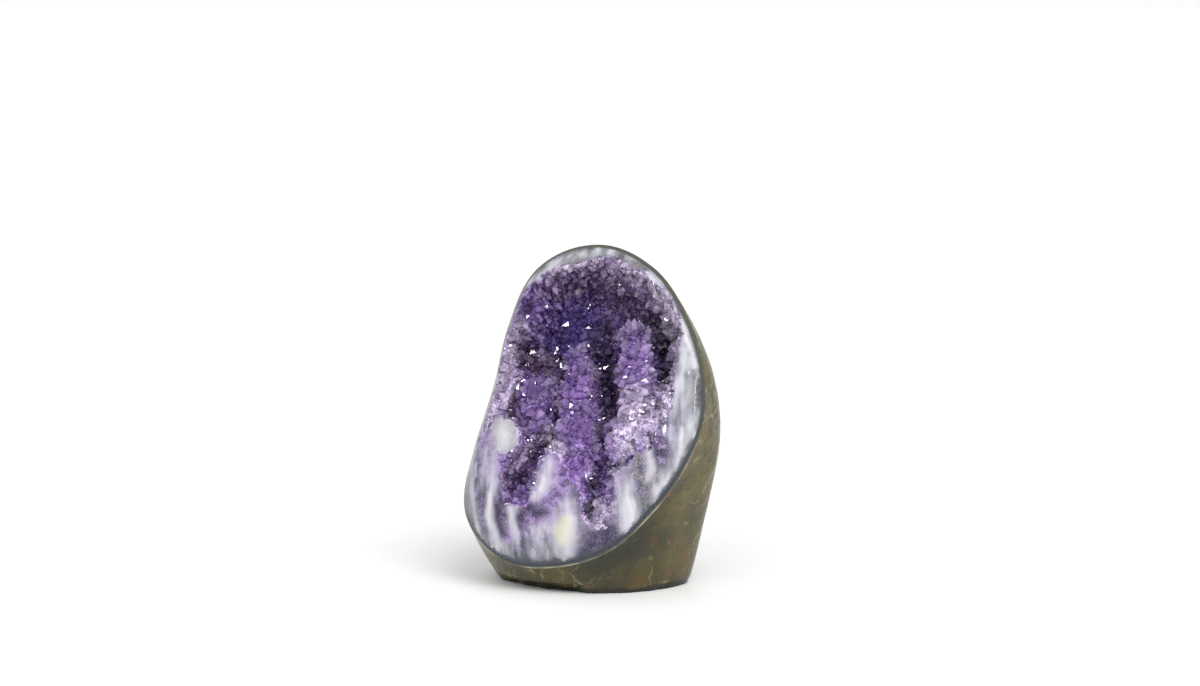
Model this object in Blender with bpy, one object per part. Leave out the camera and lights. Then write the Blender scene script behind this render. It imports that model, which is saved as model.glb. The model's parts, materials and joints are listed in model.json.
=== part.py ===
"""Amethyst geode with a ground and polished face, standing on its sawn base.

Three pieces: the basalt rind, the agate that lines it and is polished at the front,
and the crust of amethyst crystals that covers the hollow.
Lengths are millimetres, and METRE turns them into metres.
The front of the stone looks along -Y, and +Z is up.
"""

import math
import random

import bmesh
import bpy
import numpy as np
from mathutils import Vector
from mathutils.geometry import delaunay_2d_cdt

METRE = 0.001

# The middle of the stone, over the middle of its footprint
STONE_CENTRE = Vector((-4.3, -5.75, 58.0))

# Flats ground on the rind: turn from the front towards the right in degrees,
# tilt above the horizon in degrees, distance from the stone's centre
FLATS = {
    "right flank": (76, -20, 47.0),
    "right shoulder": (86, 8, 49.0),
    "upper right": (116, 34, 50.5),
    "left foot": (-67, -33, 60.0),
    "left flank": (-95, 8, 35.0),
    "left shoulder": (-82, 31, 46.0),
    "crown": (180, 70, 60.0),
    "toe": (6, -30, 47.0),
    "right toe": (37, -29, 46.0),
    "left toe": (-29, -36, 53.5),
    "back": (180, 4, 41.0),
    "right of the back": (144, 0, 35.5),
    "left of the back": (-130, 0, 42.0),
    "upper back": (180, 34, 54.0),
    "heel": (176, -26, 47.5),
}
EDGE_SHARPNESS = 14.0

# The polished face leans back, and domes forward out of the plane of its rim
FACE_LEAN = 17.0
RIM_FORWARD = 9.6
FACE_DOME = 13.0
ROLL_POWER = 4.0
RIM_WAVES = ((3, 0.45, 0.6), (5, 0.3, 2.1))

# Radius of the rim, and of the crystal field inside it, at 16 even angles,
# from the right-hand side of the face and anticlockwise
RIM_RADII = (48, 49.5, 52.5, 58, 61, 56.5, 43, 35.5, 35.5, 41.5, 53.5, 56.5, 53, 49.5, 45.5, 45.5)
FIELD_RADII = (36.5, 40, 48.5, 53, 54, 49.5, 39, 32, 32, 37.5, 40, 39, 30, 42, 30, 32)

# Thickness of the rind at the rim, at the back and over the base,
# the share of the way to the back where it is full, and the gaps between the pieces
RIND_AT_RIM = 1.2
RIND_AT_BACK = 20.0
RIND_OVER_BASE = 7.0
RIND_FULL_AT = 0.8
FIT_GAP = 0.35
HIDDEN_GAP = 0.7

# The hollow: how deep it is, how far from its edge the floor is reached, by angle in degrees,
# and how the depth fades towards the foot of the face
HOLLOW_DEPTH = 21.0
WALL_WIDTHS = ((0, 9), (60, 17), (110, 18), (170, 14), (230, 16), (300, 12), (360, 9))
DEPTH_BY_HEIGHT = ((-44, 0.04), (-30, 0.2), (-15, 0.45), (4, 0.95), (30, 1.0), (60, 1.0))
EDGE_DEPTH = 0.5

# Columns that stand in the hollow: across the face, up the face,
# depth of the crest under the polished face, half width
COLUMNS = {
    "left edge": ((-27, 16, 3.0, 5), (-28.5, 2, 1.5, 5.5), (-28, -12, 0.6, 6), (-26, -26, 0.3, 7)),
    "left": (
        (-17, 15, 7.0, 5.5), (-15, 6, 4.5, 7), (-16, -6, 3.0, 6.5),
        (-20, -18, 1.5, 5.5), (-23, -30, 0.4, 6),
    ),
    "middle": (
        (-3, 22, 13.0, 4), (0, 10, 8.5, 5), (4, -1, 4.5, 6.5),
        (6, -10, 2.5, 8), (4, -20, 1.0, 8.5), (2, -32, 0.3, 10),
    ),
    "right": ((19, 29, 9.0, 4.5), (22, 19, 6.0, 5), (24, 10, 4.0, 5.5), (27, 2, 2.0, 7), (26, -9, 0.8, 8)),
    "right edge": ((36, 7, 1.5, 4.5), (34, -4, 0.6, 6)),
}
CREST_ROUNDING = 2.0
FLANK_DROP = 20.0
FLANK_STARTS = 0.85
FLANK_POWER = 1.3

# Crest ends that are ground flush: across, up, half width, half length, lean in degrees,
# then where the grinding is whole and where it ends, as shares of the half sizes
GROUND_ENDS = {
    "white boss": (-21, -9, 4.6, 5.2, 0),
    "white streak": (-7, -23, 2.6, 8, -17),
}
GROUND_WHOLE = 0.75
GROUND_OUTER = 1.25
GROUND_VALLEY = 0.1

# Crystals of the crust: spacing, height of the points, how far the points wander and lean
# as shares of those, how uneven they are, and the thickness of the crust under them
CRYSTAL_SPACING = 3.6
CRYSTAL_HEIGHT = 2.6
TIP_WANDER = 0.2
TIP_LEAN = 0.35
TIP_UNEVENNESS = (-0.3, 0.9)
TIP_UNDER_FACE = 0.02
CRUST_THICKNESS = 1.5

# Mesh fineness
MERIDIANS = 64
OUTSIDE_ROWS = 16
INSIDE_ROWS = 7
OUTLINE_STEPS = 720
FACE_SPACING = 5.5
LIP_CLEARANCE = 1.1
RIM_BANDS = (0.975, 0.93)
SPREAD_TRIES = 14000
SETTLE_PASSES = 6
SLOPE_STEP = 1.0
STEEPEST = 3.0
SHARP_ANGLE = 30.0
PLAN_MERGE = 1e-6
CUT_MERGE = 1e-7
SEED = 7

# Colour, roughness and metallic value of each mineral
FINISHES = {
    "basalt_rind": ((0.12, 0.11, 0.07, 1.0), 0.35, 0.0),
    "agate_lining": ((0.55, 0.57, 0.62, 1.0), 0.15, 0.0),
    "amethyst_crystals": ((0.22, 0.10, 0.42, 1.0), 0.08, 0.0),
}


# Curves and small sums

def smooth_step(x):
    x = min(max(x, 0.0), 1.0)
    return x * x * (3 - 2 * x)


def read_off(table, x):
    """The value at x on a table of (x, value) points, straight between them."""
    return float(np.interp(x, [row[0] for row in table], [row[1] for row in table]))


def radius_at(radii, angle):
    """A closed curve through even angles, by its radius at any angle."""
    count = len(radii)
    place = (angle / (2 * math.pi)) % 1.0 * count
    i = int(place)
    t = place - i
    a, b, c, d = (radii[(i + k) % count] for k in (-1, 0, 1, 2))
    return b + 0.5 * t * (c - a + t * (2 * a - 5 * b + 4 * c - d + t * (3 * (b - c) + d - a)))


def direction(turn, tilt):
    turn, tilt = math.radians(turn), math.radians(tilt)
    return Vector((math.sin(turn) * math.cos(tilt), -math.cos(turn) * math.cos(tilt), math.sin(tilt)))


# The polished face

FACE_NORMAL = direction(0, FACE_LEAN)
FACE_ACROSS = Vector((1, 0, 0))
FACE_UP = FACE_NORMAL.cross(FACE_ACROSS)
FACE_CENTRE = STONE_CENTRE + FACE_NORMAL * RIM_FORWARD


def rim_height(angle):
    return sum(size * math.sin(count * angle + phase) for count, size, phase in RIM_WAVES)


def face_height(across, up):
    """How far the polished face stands in front of the plane of the rim."""
    angle = math.atan2(up, across)
    share = math.hypot(across, up) / radius_at(RIM_RADII, angle)
    return FACE_DOME * (1 - share**ROLL_POWER) + rim_height(angle) * share**ROLL_POWER


def face_point(across, up, depth=0.0):
    """A point under the polished face, at this depth."""
    height = face_height(across, up) - depth
    return FACE_CENTRE + FACE_ACROSS * across + FACE_UP * up + FACE_NORMAL * height


def rim_point(angle, inset=0.0):
    radius = radius_at(RIM_RADII, angle) - inset
    return radius * math.cos(angle), radius * math.sin(angle)


# The outside of the stone, from the rim round to the back

def reach(way, floor=None):
    """Distance from the stone's centre to its ground flats, whose edges run softly into each other."""
    total = 0.0
    for turn, tilt, distance in FLATS.values():
        total += max(0.0, way.dot(direction(turn, tilt)) / distance) ** EDGE_SHARPNESS
    if floor is not None:
        total += max(0.0, -way.z / floor) ** EDGE_SHARPNESS
    return total ** (-1 / EDGE_SHARPNESS)


def meridian(angle):
    """The way to the rim at this angle, its distance, and the angle from there to the back."""
    to_rim = face_point(*rim_point(angle)) - STONE_CENTRE
    way = to_rim.normalized()
    return way, to_rim.length, way.angle(-FACE_NORMAL)


def shell_ring(share, inset):
    """Points at this share of the way from the rim to the back, this far inside the rind's outside."""
    points = []
    for i in range(MERIDIANS):
        angle = 2 * math.pi * i / MERIDIANS
        way, rim_distance, sweep = meridian(angle)
        if share == 0.0:
            points.append(face_point(*rim_point(angle, inset)))
            continue
        turned = way * math.sin((1 - share) * sweep) - FACE_NORMAL * math.sin(share * sweep)
        turned /= math.sin(sweep)
        fit = 1 + (rim_distance / reach(way) - 1) * (1 - share) ** 3
        floor = STONE_CENTRE.z - RIND_OVER_BASE if inset else None
        points.append(STONE_CENTRE + turned * (fit * reach(turned, floor) - inset))
    return points


def back_point(inset):
    return STONE_CENTRE - FACE_NORMAL * (reach(-FACE_NORMAL) - inset)


def rind_thickness(share):
    return RIND_AT_RIM + (RIND_AT_BACK - RIND_AT_RIM) * smooth_step(share / RIND_FULL_AT)


def agate_inset(share):
    """How far inside the rind's outside the agate lies: a fine gap at the rim, and a wider one behind it."""
    return rind_thickness(share) + (FIT_GAP if share == 0.0 else HIDDEN_GAP)


# The hollow and its columns

def column_depth(crest, across, up):
    """Depth of one column's surface: its crest, a round shoulder, then a steep flank."""
    best = math.inf
    for (a0, u0, d0, w0), (a1, u1, d1, w1) in zip(crest, crest[1:]):
        run, rise = a1 - a0, u1 - u0
        t = ((across - a0) * run + (up - u0) * rise) / (run * run + rise * rise)
        t = min(max(t, 0.0), 1.0)
        aside = math.hypot(across - a0 - t * run, up - u0 - t * rise) / (w0 + t * (w1 - w0))
        flank = FLANK_DROP * max(0.0, aside - FLANK_STARTS) ** FLANK_POWER
        best = min(best, d0 + t * (d1 - d0) + CREST_ROUNDING * aside * aside + flank)
    return best


def ground_flush(across, up):
    """1 on a crest end that is ground flush with the face, 0 away from it."""
    share = 0.0
    for a, u, half_width, half_length, lean in GROUND_ENDS.values():
        turn = math.radians(lean)
        x = (across - a) * math.cos(turn) + (up - u) * math.sin(turn)
        y = (up - u) * math.cos(turn) - (across - a) * math.sin(turn)
        out = math.hypot(x / half_width, y / half_length)
        share = max(share, smooth_step((GROUND_OUTER - out) / (GROUND_OUTER - GROUND_WHOLE)))
    return share


def hollow_depth(across, up):
    """Depth of the crystal points under the polished face."""
    angle = math.atan2(up, across)
    from_edge = radius_at(FIELD_RADII, angle) - math.hypot(across, up)
    wall = read_off(WALL_WIDTHS, math.degrees(angle) % 360)
    floor = HOLLOW_DEPTH * read_off(DEPTH_BY_HEIGHT, up)
    part = min(max(from_edge / wall, 0.0), 1.0)
    depth = EDGE_DEPTH + floor * (1 - (1 - part) ** 2)
    crests = min(column_depth(crest, across, up) for crest in COLUMNS.values())
    return min(depth, crests) * (1 - ground_flush(across, up))


def hollow_slope(across, up):
    """How fast the hollow deepens across and up the face."""
    lean_across = hollow_depth(across + SLOPE_STEP, up) - hollow_depth(across - SLOPE_STEP, up)
    lean_up = hollow_depth(across, up + SLOPE_STEP) - hollow_depth(across, up - SLOPE_STEP)
    return lean_across / (2 * SLOPE_STEP), lean_up / (2 * SLOPE_STEP)


def steepness(across, up):
    """How much longer the hollow's wall is than its plan, up to a limit."""
    return min(math.sqrt(1 + sum(lean * lean for lean in hollow_slope(across, up))), STEEPEST)


# Plan of the face: points, and the triangles over them

def spread_points(outline, spacing, keep):
    """Random points no closer than the spacing inside an outline, where keep(across, up) is true."""
    rng = random.Random(SEED)
    reach_out = max(math.hypot(*p) for p in outline)
    found = np.array(outline)
    first = len(found)
    for _ in range(SPREAD_TRIES):
        across, up = (rng.uniform(-reach_out, reach_out) for _ in range(2))
        if not keep(across, up):
            continue
        if np.hypot(found[:, 0] - across, found[:, 1] - up).min() > spacing(across, up):
            found = np.vstack([found, (across, up)])
    return [tuple(p) for p in found[first:]]


def inside(outline, point):
    """True for a point inside a closed outline."""
    x, y = point
    crossings = 0
    for (x0, y0), (x1, y1) in zip(outline, outline[1:] + outline[:1]):
        if (y0 > y) != (y1 > y) and x < x0 + (y - y0) * (x1 - x0) / (y1 - y0):
            crossings += 1
    return crossings % 2 == 1


def triangles_over(loops, points):
    """Triangles inside the first loop and outside the others. Indices count the loops, then the points."""
    plan = [p for loop in loops for p in loop] + points
    edges = []
    start = 0
    for loop in loops:
        edges += [(start + i, start + (i + 1) % len(loop)) for i in range(len(loop))]
        start += len(loop)
    _, _, faces, origins, _, _ = delaunay_2d_cdt([Vector(p) for p in plan], edges, [], 0, PLAN_MERGE)
    found = []
    for face in faces:
        corners = [origins[v][0] for v in face]
        middle = tuple(sum(plan[c][k] for c in corners) / 3 for k in range(2))
        if inside(loops[0], middle) and not any(inside(loop, middle) for loop in loops[1:]):
            found.append(corners)
    return found


def widened(outline, gap):
    """A closed outline moved outwards by a gap."""
    moved = []
    for before, (x, y), after in zip(outline[-1:] + outline[:-1], outline, outline[1:] + outline[:1]):
        run, rise = after[0] - before[0], after[1] - before[1]
        length = math.hypot(run, rise)
        moved.append((x + gap * rise / length, y - gap * run / length))
    return moved


def clearance(outline, point):
    return min(math.hypot(x - point[0], y - point[1]) for x, y in outline)


# The crystal field in plan

def field_outline():
    """The crystal field's edge, with two points to a crystal."""
    angles = np.linspace(0, 2 * math.pi, OUTLINE_STEPS + 1)
    radii = np.array([radius_at(FIELD_RADII, a) for a in angles])
    x, y = radii * np.cos(angles), radii * np.sin(angles)
    run = np.concatenate([[0], np.cumsum(np.hypot(np.diff(x), np.diff(y)))])
    count = int(run[-1] / CRYSTAL_SPACING)
    places = np.linspace(0, run[-1], 2 * count, endpoint=False)
    return list(zip(np.interp(places, run, x).tolist(), np.interp(places, run, y).tolist()))


def crystal_spacing(across, up):
    """Closer in plan where the hollow's walls are steep, so that crystals stay alike in size."""
    return CRYSTAL_SPACING / math.sqrt(steepness(across, up))


class CrystalField:
    """One place to each crystal, the triangles between them, and depths under the polished face."""

    def __init__(self):
        self.outline = field_outline()
        self.edge_count = len(self.outline)
        sites = spread_points(self.outline, crystal_spacing, self.holds)
        self.places = self.outline + sites
        self.triangles = triangles_over([self.outline], sites)
        self.pairs = self.find_pairs()
        self.tops = [EDGE_DEPTH] * self.edge_count + [hollow_depth(*site) for site in sites]
        self.valleys = [self.valley_depth(triangle) for triangle in self.triangles]
        self.backs = self.find_backs()
        self.floors = [b + HIDDEN_GAP * steepness(*p) for p, b in zip(self.places, self.backs)]

    def holds(self, across, up):
        """True where a crystal fits inside the edge."""
        point = (across, up)
        return inside(self.outline, point) and clearance(self.outline, point) > CRYSTAL_SPACING / 2

    def middle(self, triangle):
        return tuple(sum(self.places[i][k] for i in triangle) / 3 for k in range(2))

    def find_pairs(self):
        """For each edge between two places, the triangles on its sides. The outline's edges have one."""
        beside = {}
        for number, triangle in enumerate(self.triangles):
            for first, second in zip(triangle, triangle[1:] + triangle[:1]):
                beside.setdefault(frozenset((first, second)), []).append((number, first, second))
        return list(beside.values())

    def valley_depth(self, triangle):
        """Depth of the valley between three crystals."""
        mean = sum(self.tops[i] for i in triangle) / 3
        return mean + CRYSTAL_HEIGHT * (1 - (1 - GROUND_VALLEY) * ground_flush(*self.middle(triangle)))

    def find_backs(self):
        """Depth of the crust's back at each place, pushed in where the crust would be too thin."""
        backs = [
            top + CRYSTAL_HEIGHT + CRUST_THICKNESS * math.sqrt(steepness(*place))
            for place, top in zip(self.places, self.tops)
        ]
        for _ in range(SETTLE_PASSES):
            for sides in self.pairs:
                if len(sides) == 1:
                    continue
                (one, i, j), (other, _, _) = sides
                valley = (self.valleys[one] + self.valleys[other]) / 2
                lacking = valley + CRUST_THICKNESS - (backs[i] + backs[j]) / 2
                for place in (i, j):
                    backs[place] += max(0.0, lacking)
        return backs


# Building blocks for meshes

def new_verts(bm, points):
    return [bm.verts.new(p * METRE) for p in points]


def bridge(bm, ring_a, ring_b):
    for i in range(len(ring_a)):
        j = (i + 1) % len(ring_a)
        bm.faces.new((ring_a[i], ring_a[j], ring_b[j], ring_b[i]))


def cap(bm, ring, tip):
    for i in range(len(ring)):
        bm.faces.new((ring[i], ring[(i + 1) % len(ring)], tip))


def shell(bm, rows, inset):
    """Rings from the rim to the back, joined up, where inset(share) is how far inside they lie."""
    rings = [new_verts(bm, shell_ring(row / rows, inset(row / rows))) for row in range(rows)]
    for front, behind in zip(rings, rings[1:]):
        bridge(bm, front, behind)
    cap(bm, rings[-1], bm.verts.new(back_point(inset(1.0)) * METRE))
    return rings[0]


def finish(bm, name, rounded):
    """Triangulates, turns the faces outwards and makes the object, with its material."""
    bmesh.ops.triangulate(bm, faces=bm.faces[:])
    bmesh.ops.recalc_face_normals(bm, faces=bm.faces[:])
    mesh = bpy.data.meshes.new(name)
    bm.to_mesh(mesh)
    bm.free()
    if rounded:
        mesh.shade_smooth()
        mesh.set_sharp_from_angle(angle=math.radians(SHARP_ANGLE))
    colour, roughness, metallic = FINISHES[name]
    material = bpy.data.materials.new(name)
    material.use_nodes = True
    shader = material.node_tree.nodes["Principled BSDF"]
    shader.inputs["Base Color"].default_value = colour
    shader.inputs["Roughness"].default_value = roughness
    shader.inputs["Metallic"].default_value = metallic
    mesh.materials.append(material)
    obj = bpy.data.objects.new(name, mesh)
    bpy.context.scene.collection.objects.link(obj)


# The pieces

def make_rind():
    """The basalt: an outside with ground flats, a hollow for the agate, and a sawn base."""
    bm = bmesh.new()
    outer = shell(bm, OUTSIDE_ROWS, lambda share: 0.0)
    inner = shell(bm, INSIDE_ROWS, rind_thickness)
    bridge(bm, outer, inner)
    everything = bm.verts[:] + bm.edges[:] + bm.faces[:]
    cut = bmesh.ops.bisect_plane(
        bm, geom=everything, dist=CUT_MERGE, plane_co=(0, 0, 0), plane_no=(0, 0, 1), clear_inner=True
    )
    foot = [e for e in cut["geom_cut"] if isinstance(e, bmesh.types.BMEdge)]
    bmesh.ops.edgeloop_fill(bm, edges=foot)
    finish(bm, "basalt_rind", rounded=True)


def make_agate(field):
    """The agate: polished in front, with a pocket that the crystal crust lies in."""
    bm = bmesh.new()
    back = shell(bm, INSIDE_ROWS, agate_inset)

    lip_plan = widened(field.outline, FIT_GAP)
    pocket_plan = lip_plan + field.places[field.edge_count:]
    lip = new_verts(bm, [face_point(*p) for p in lip_plan])
    floor = new_verts(bm, [face_point(*p, depth) for p, depth in zip(pocket_plan, field.floors)])
    bridge(bm, lip, floor[:field.edge_count])
    for triangle in field.triangles:
        bm.faces.new([floor[i] for i in triangle])

    rim_plan = [rim_point(2 * math.pi * i / MERIDIANS, RIND_AT_RIM + FIT_GAP) for i in range(MERIDIANS)]
    bands = [(x * share, y * share) for share in RIM_BANDS for x, y in rim_plan]
    bands = [p for p in bands if not inside(lip_plan, p) and clearance(lip_plan, p) > LIP_CLEARANCE]

    def open_face(across, up):
        point = (across, up)
        clear = clearance(lip_plan + rim_plan, point) > 2 * LIP_CLEARANCE
        return clear and inside(rim_plan, point) and not inside(lip_plan, point)

    spread = spread_points(lip_plan + rim_plan + bands, lambda across, up: FACE_SPACING, open_face)
    points = bands + spread
    verts = back + lip + new_verts(bm, [face_point(*p) for p in points])
    for triangle in triangles_over([rim_plan, lip_plan], points):
        bm.faces.new([verts[i] for i in triangle])
    finish(bm, "agate_lining", rounded=True)


def crystal_tip(place, depth, rng):
    """A point that stands off the hollow's wall, leaning a little."""
    across, up = place
    lean_across, lean_up = hollow_slope(across, up)
    off_wall = Vector((lean_across, lean_up, 1)).normalized() * CRYSTAL_HEIGHT * TIP_LEAN
    loose = 1 - ground_flush(across, up)
    wander = crystal_spacing(across, up) * TIP_WANDER
    across += (off_wall.x + rng.uniform(-wander, wander)) * loose
    up += (off_wall.y + rng.uniform(-wander, wander)) * loose
    return face_point(across, up, max(depth + rng.uniform(*TIP_UNEVENNESS) * loose, TIP_UNDER_FACE))


def make_crystals(field):
    """One crust of amethyst: a pyramid over each place, fused to its neighbours and to a thin back."""
    bm = bmesh.new()
    rng = random.Random(SEED)
    edge = field.edge_count
    peaks = new_verts(bm, [face_point(*p, EDGE_DEPTH) for p in field.outline])
    tips = [crystal_tip(p, top, rng) for p, top in zip(field.places[edge:], field.tops[edge:])]
    peaks += new_verts(bm, tips)
    back = new_verts(bm, [face_point(*p, depth) for p, depth in zip(field.places, field.backs)])
    bridge(bm, peaks[:edge], back[:edge])
    for triangle in field.triangles:
        bm.faces.new([back[i] for i in triangle])

    middles = [field.middle(triangle) for triangle in field.triangles]
    valleys = new_verts(bm, [face_point(*p, depth) for p, depth in zip(middles, field.valleys)])
    for sides in field.pairs:
        one, i, j = sides[0]
        if len(sides) == 1:
            bm.faces.new((peaks[i], peaks[j], valleys[one]))
            continue
        other = sides[1][0]
        bm.faces.new((peaks[i], valleys[other], valleys[one]))
        bm.faces.new((peaks[j], valleys[one], valleys[other]))
    finish(bm, "amethyst_crystals", rounded=False)


def main():
    for obj in list(bpy.data.objects):
        bpy.data.objects.remove(obj)
    field = CrystalField()
    make_rind()
    make_agate(field)
    make_crystals(field)


main()
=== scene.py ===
"""Looks of the amethyst geode: the basalt rind, the polished agate and quartz of the face,
the druse in the hollow, and the amethyst points on it.

Lengths are millimetres until METRE turns them into metres. The face looks along -Y, +Z is up.
Across and up are measured on the plane of the face's rim, from its centre.
"""

import json
import math
import random

import bmesh
import bpy
import numpy as np
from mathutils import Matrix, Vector

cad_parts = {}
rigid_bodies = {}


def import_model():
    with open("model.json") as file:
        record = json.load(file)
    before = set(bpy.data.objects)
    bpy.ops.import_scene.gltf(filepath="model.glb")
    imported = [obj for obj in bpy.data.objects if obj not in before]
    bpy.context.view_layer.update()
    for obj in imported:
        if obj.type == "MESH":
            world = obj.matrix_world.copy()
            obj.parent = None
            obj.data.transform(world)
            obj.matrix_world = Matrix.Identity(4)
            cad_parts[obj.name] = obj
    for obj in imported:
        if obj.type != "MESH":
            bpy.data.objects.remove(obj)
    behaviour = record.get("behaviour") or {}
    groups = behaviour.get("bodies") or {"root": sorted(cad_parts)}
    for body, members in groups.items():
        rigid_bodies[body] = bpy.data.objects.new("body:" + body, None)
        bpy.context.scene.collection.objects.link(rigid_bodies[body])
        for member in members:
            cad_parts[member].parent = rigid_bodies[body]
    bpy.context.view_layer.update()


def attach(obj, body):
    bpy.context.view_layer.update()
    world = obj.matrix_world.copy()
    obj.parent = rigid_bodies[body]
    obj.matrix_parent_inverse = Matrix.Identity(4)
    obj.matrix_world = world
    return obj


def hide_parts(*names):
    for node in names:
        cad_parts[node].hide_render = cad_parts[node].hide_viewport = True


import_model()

METRE = 0.001
SEED = 7

# The stone, with the same named sizes as its solids. A ground flat is the turn and tilt that it faces
# in degrees and its distance from the stone's centre.
STONE_CENTRE = np.array((-4.3, -5.75, 58.0))
FLATS = {
    "right flank": (76, -20, 47.0),
    "right shoulder": (86, 8, 49.0),
    "upper right": (116, 34, 50.5),
    "left foot": (-67, -33, 60.0),
    "left flank": (-95, 8, 35.0),
    "left shoulder": (-82, 31, 46.0),
    "crown": (180, 70, 60.0),
    "toe": (6, -30, 47.0),
    "right toe": (37, -29, 46.0),
    "left toe": (-29, -36, 53.5),
    "back": (180, 4, 41.0),
    "right of the back": (144, 0, 35.5),
    "left of the back": (-130, 0, 42.0),
    "upper back": (180, 34, 54.0),
    "heel": (176, -26, 47.5),
}
EDGE_SHARPNESS = 14.0
FACE_LEAN = 17.0
RIM_FORWARD = 9.6
FACE_DOME = 13.0
ROLL_POWER = 4.0
RIM_WAVES = ((3, 0.45, 0.6), (5, 0.3, 2.1))
RIM_RADII = (48, 49.5, 52.5, 58, 61, 56.5, 43, 35.5, 35.5, 41.5, 53.5, 56.5, 53, 49.5, 45.5, 45.5)
FIELD_RADII = (36.5, 40, 48.5, 53, 54, 49.5, 39, 32, 32, 37.5, 40, 39, 30, 42, 30, 32)
RIM_FADE_POWER = 3
RIND_AT_RIM = 1.2
RIND_AT_BACK = 20.0
RIND_OVER_BASE = 7.0
RIND_FULL_AT = 0.8
HIDDEN_GAP = 0.7
HOLLOW_DEPTH = 21.0
WALL_WIDTHS = ((0, 9), (60, 17), (110, 18), (170, 14), (230, 16), (300, 12), (360, 9))
DEPTH_BY_HEIGHT = ((-44, 0.04), (-30, 0.2), (-15, 0.45), (4, 0.95), (30, 1.0), (60, 1.0))
EDGE_DEPTH = 0.5

# Columns in the hollow, each a crest line of (across, up, depth, half width)
COLUMNS = {
    "left edge": ((-27, 16, 3.0, 5), (-28.5, 2, 1.5, 5.5), (-28, -12, 0.6, 6), (-26, -26, 0.3, 7)),
    "left": (
        (-17, 15, 7.0, 5.5), (-15, 6, 4.5, 7), (-16, -6, 3.0, 6.5),
        (-20, -18, 1.5, 5.5), (-23, -30, 0.4, 6),
    ),
    "middle": (
        (-3, 22, 13.0, 4), (0, 10, 8.5, 5), (4, -1, 4.5, 6.5),
        (6, -10, 2.5, 8), (4, -20, 1.0, 8.5), (2, -32, 0.3, 10),
    ),
    "right": ((19, 29, 9.0, 4.5), (22, 19, 6.0, 5), (24, 10, 4.0, 5.5), (27, 2, 2.0, 7), (26, -9, 0.8, 8)),
    "right edge": ((36, 7, 1.5, 4.5), (34, -4, 0.6, 6)),
}
CREST_ROUNDING = 2.0
FLANK_DROP = 20.0
FLANK_STARTS = 0.85
FLANK_POWER = 1.3

# Finer shape than the solids have: lumps on the columns, a wandering edge to the crystals,
# crests ground flush with the face, and shallow flutes that the polisher left in the agate.
# Lumps and noises are given as size and amount, with a seed where each has its own.
LUMPS = ((6.5, 1.8), (3.1, 1.1))
LUMPS_APART = 0.62
LUMP_REACH = 0.75
LUMPS_FULL_AT = 3.0
COLUMN_WANDER = ((5.0, 1.9), (2.2, 0.9))
EDGE_NOISES = ((5.0, 1.6, 0), (2.2, 0.8, 1), (1.1, 0.7, 12))
FLOOR_NOISES = ((4.0, 0.5, 2), (1.6, 0.3, 3))
EDGE_SPREAD = 0.9
EDGE_WIDTH = 0.6
FLUSH_DEPTH = 0.55
BED_SINK = 1.0
BED_SINK_OVER = 1.2
# RELIEF_WIDTH and CREST_HEIGHT set the masks of the highlight painted on crests and the shade painted in
# creases
RELIEF_WIDTH = 2.4
CREST_HEIGHT = 1.4
TINT_WIDTH = 3.2
TINT_GAIN = 1.6
PAINT_WANDER = 1.1
PAINT_WANDER_SIZE = 5.5
FLUTE_WIDTH = 3.8
FLUTE_LENGTH = 26.0
FLUTE_DEPTH = 0.5
FLUTE_EDGE = 0.05
FLUTES_FROM = -5.0
FLUTES_FULL_AT = 35.0
JOINT_GAP = 0.04

# The ground rind: its skin is sunk a little, so that its waves stay inside the solid
SKIN_SINK = 0.17
WAVES = ((9.0, 0.12, 5), (3.0, 0.05, 6))
WAVES_FULL_AT = 4.0
PIT_SIZE = 1.3
PIT_DEPTH = 0.6
CHIP_SIZE = 6.0
CHIP_DEPTH = 0.6
CHIP_TOP = 2.4
UNDERCUT = (-75, 25)
UNDERCUT_ENDS = 15.0
UNDERCUT_WANDER = (14.0, 0.3)
UNDERCUT_TOP = 3.4
UNDERCUT_ROUNDING = 2.0
UNDERCUT_DEPTH = 3.6

# Fineness of the meshes
AROUND = 512
FACE_RINGS = 168
RIND_ROWS = 110
ROWS_CROWD_AT_RIM = 1.35
EDGE_ROWS = 4
INSIDE_ROWS = 8
GRID = 0.35
RIND_SHARP_FROM = 35
LINING_SHARP_FROM = 50

# Crystal sizes: spacing, width, tilt in degrees
POINT_SIZES = {
    "large": (2.6, 2.5, 36.0),
    "middle": (1.5, 1.6, 42.0),
    "small": (0.92, 0.95, 48.0),
}
CRYSTAL_FORMS = 5
TRIES_FOR_A_SPOT = 4.0

# A point's width varies by luck, and is less where the hollow is shallow. All end just under the polish.
LEAST_LUCK = 0.55
MOST_LUCK = 1.45
LEAST_ROOM = 0.55
FULL_ROOM_DEPTH = 3.5
UNDER_POLISH = 0.02

# Refractive indices
BASALT_IOR = 1.6
QUARTZ_IOR = 1.544
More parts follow.
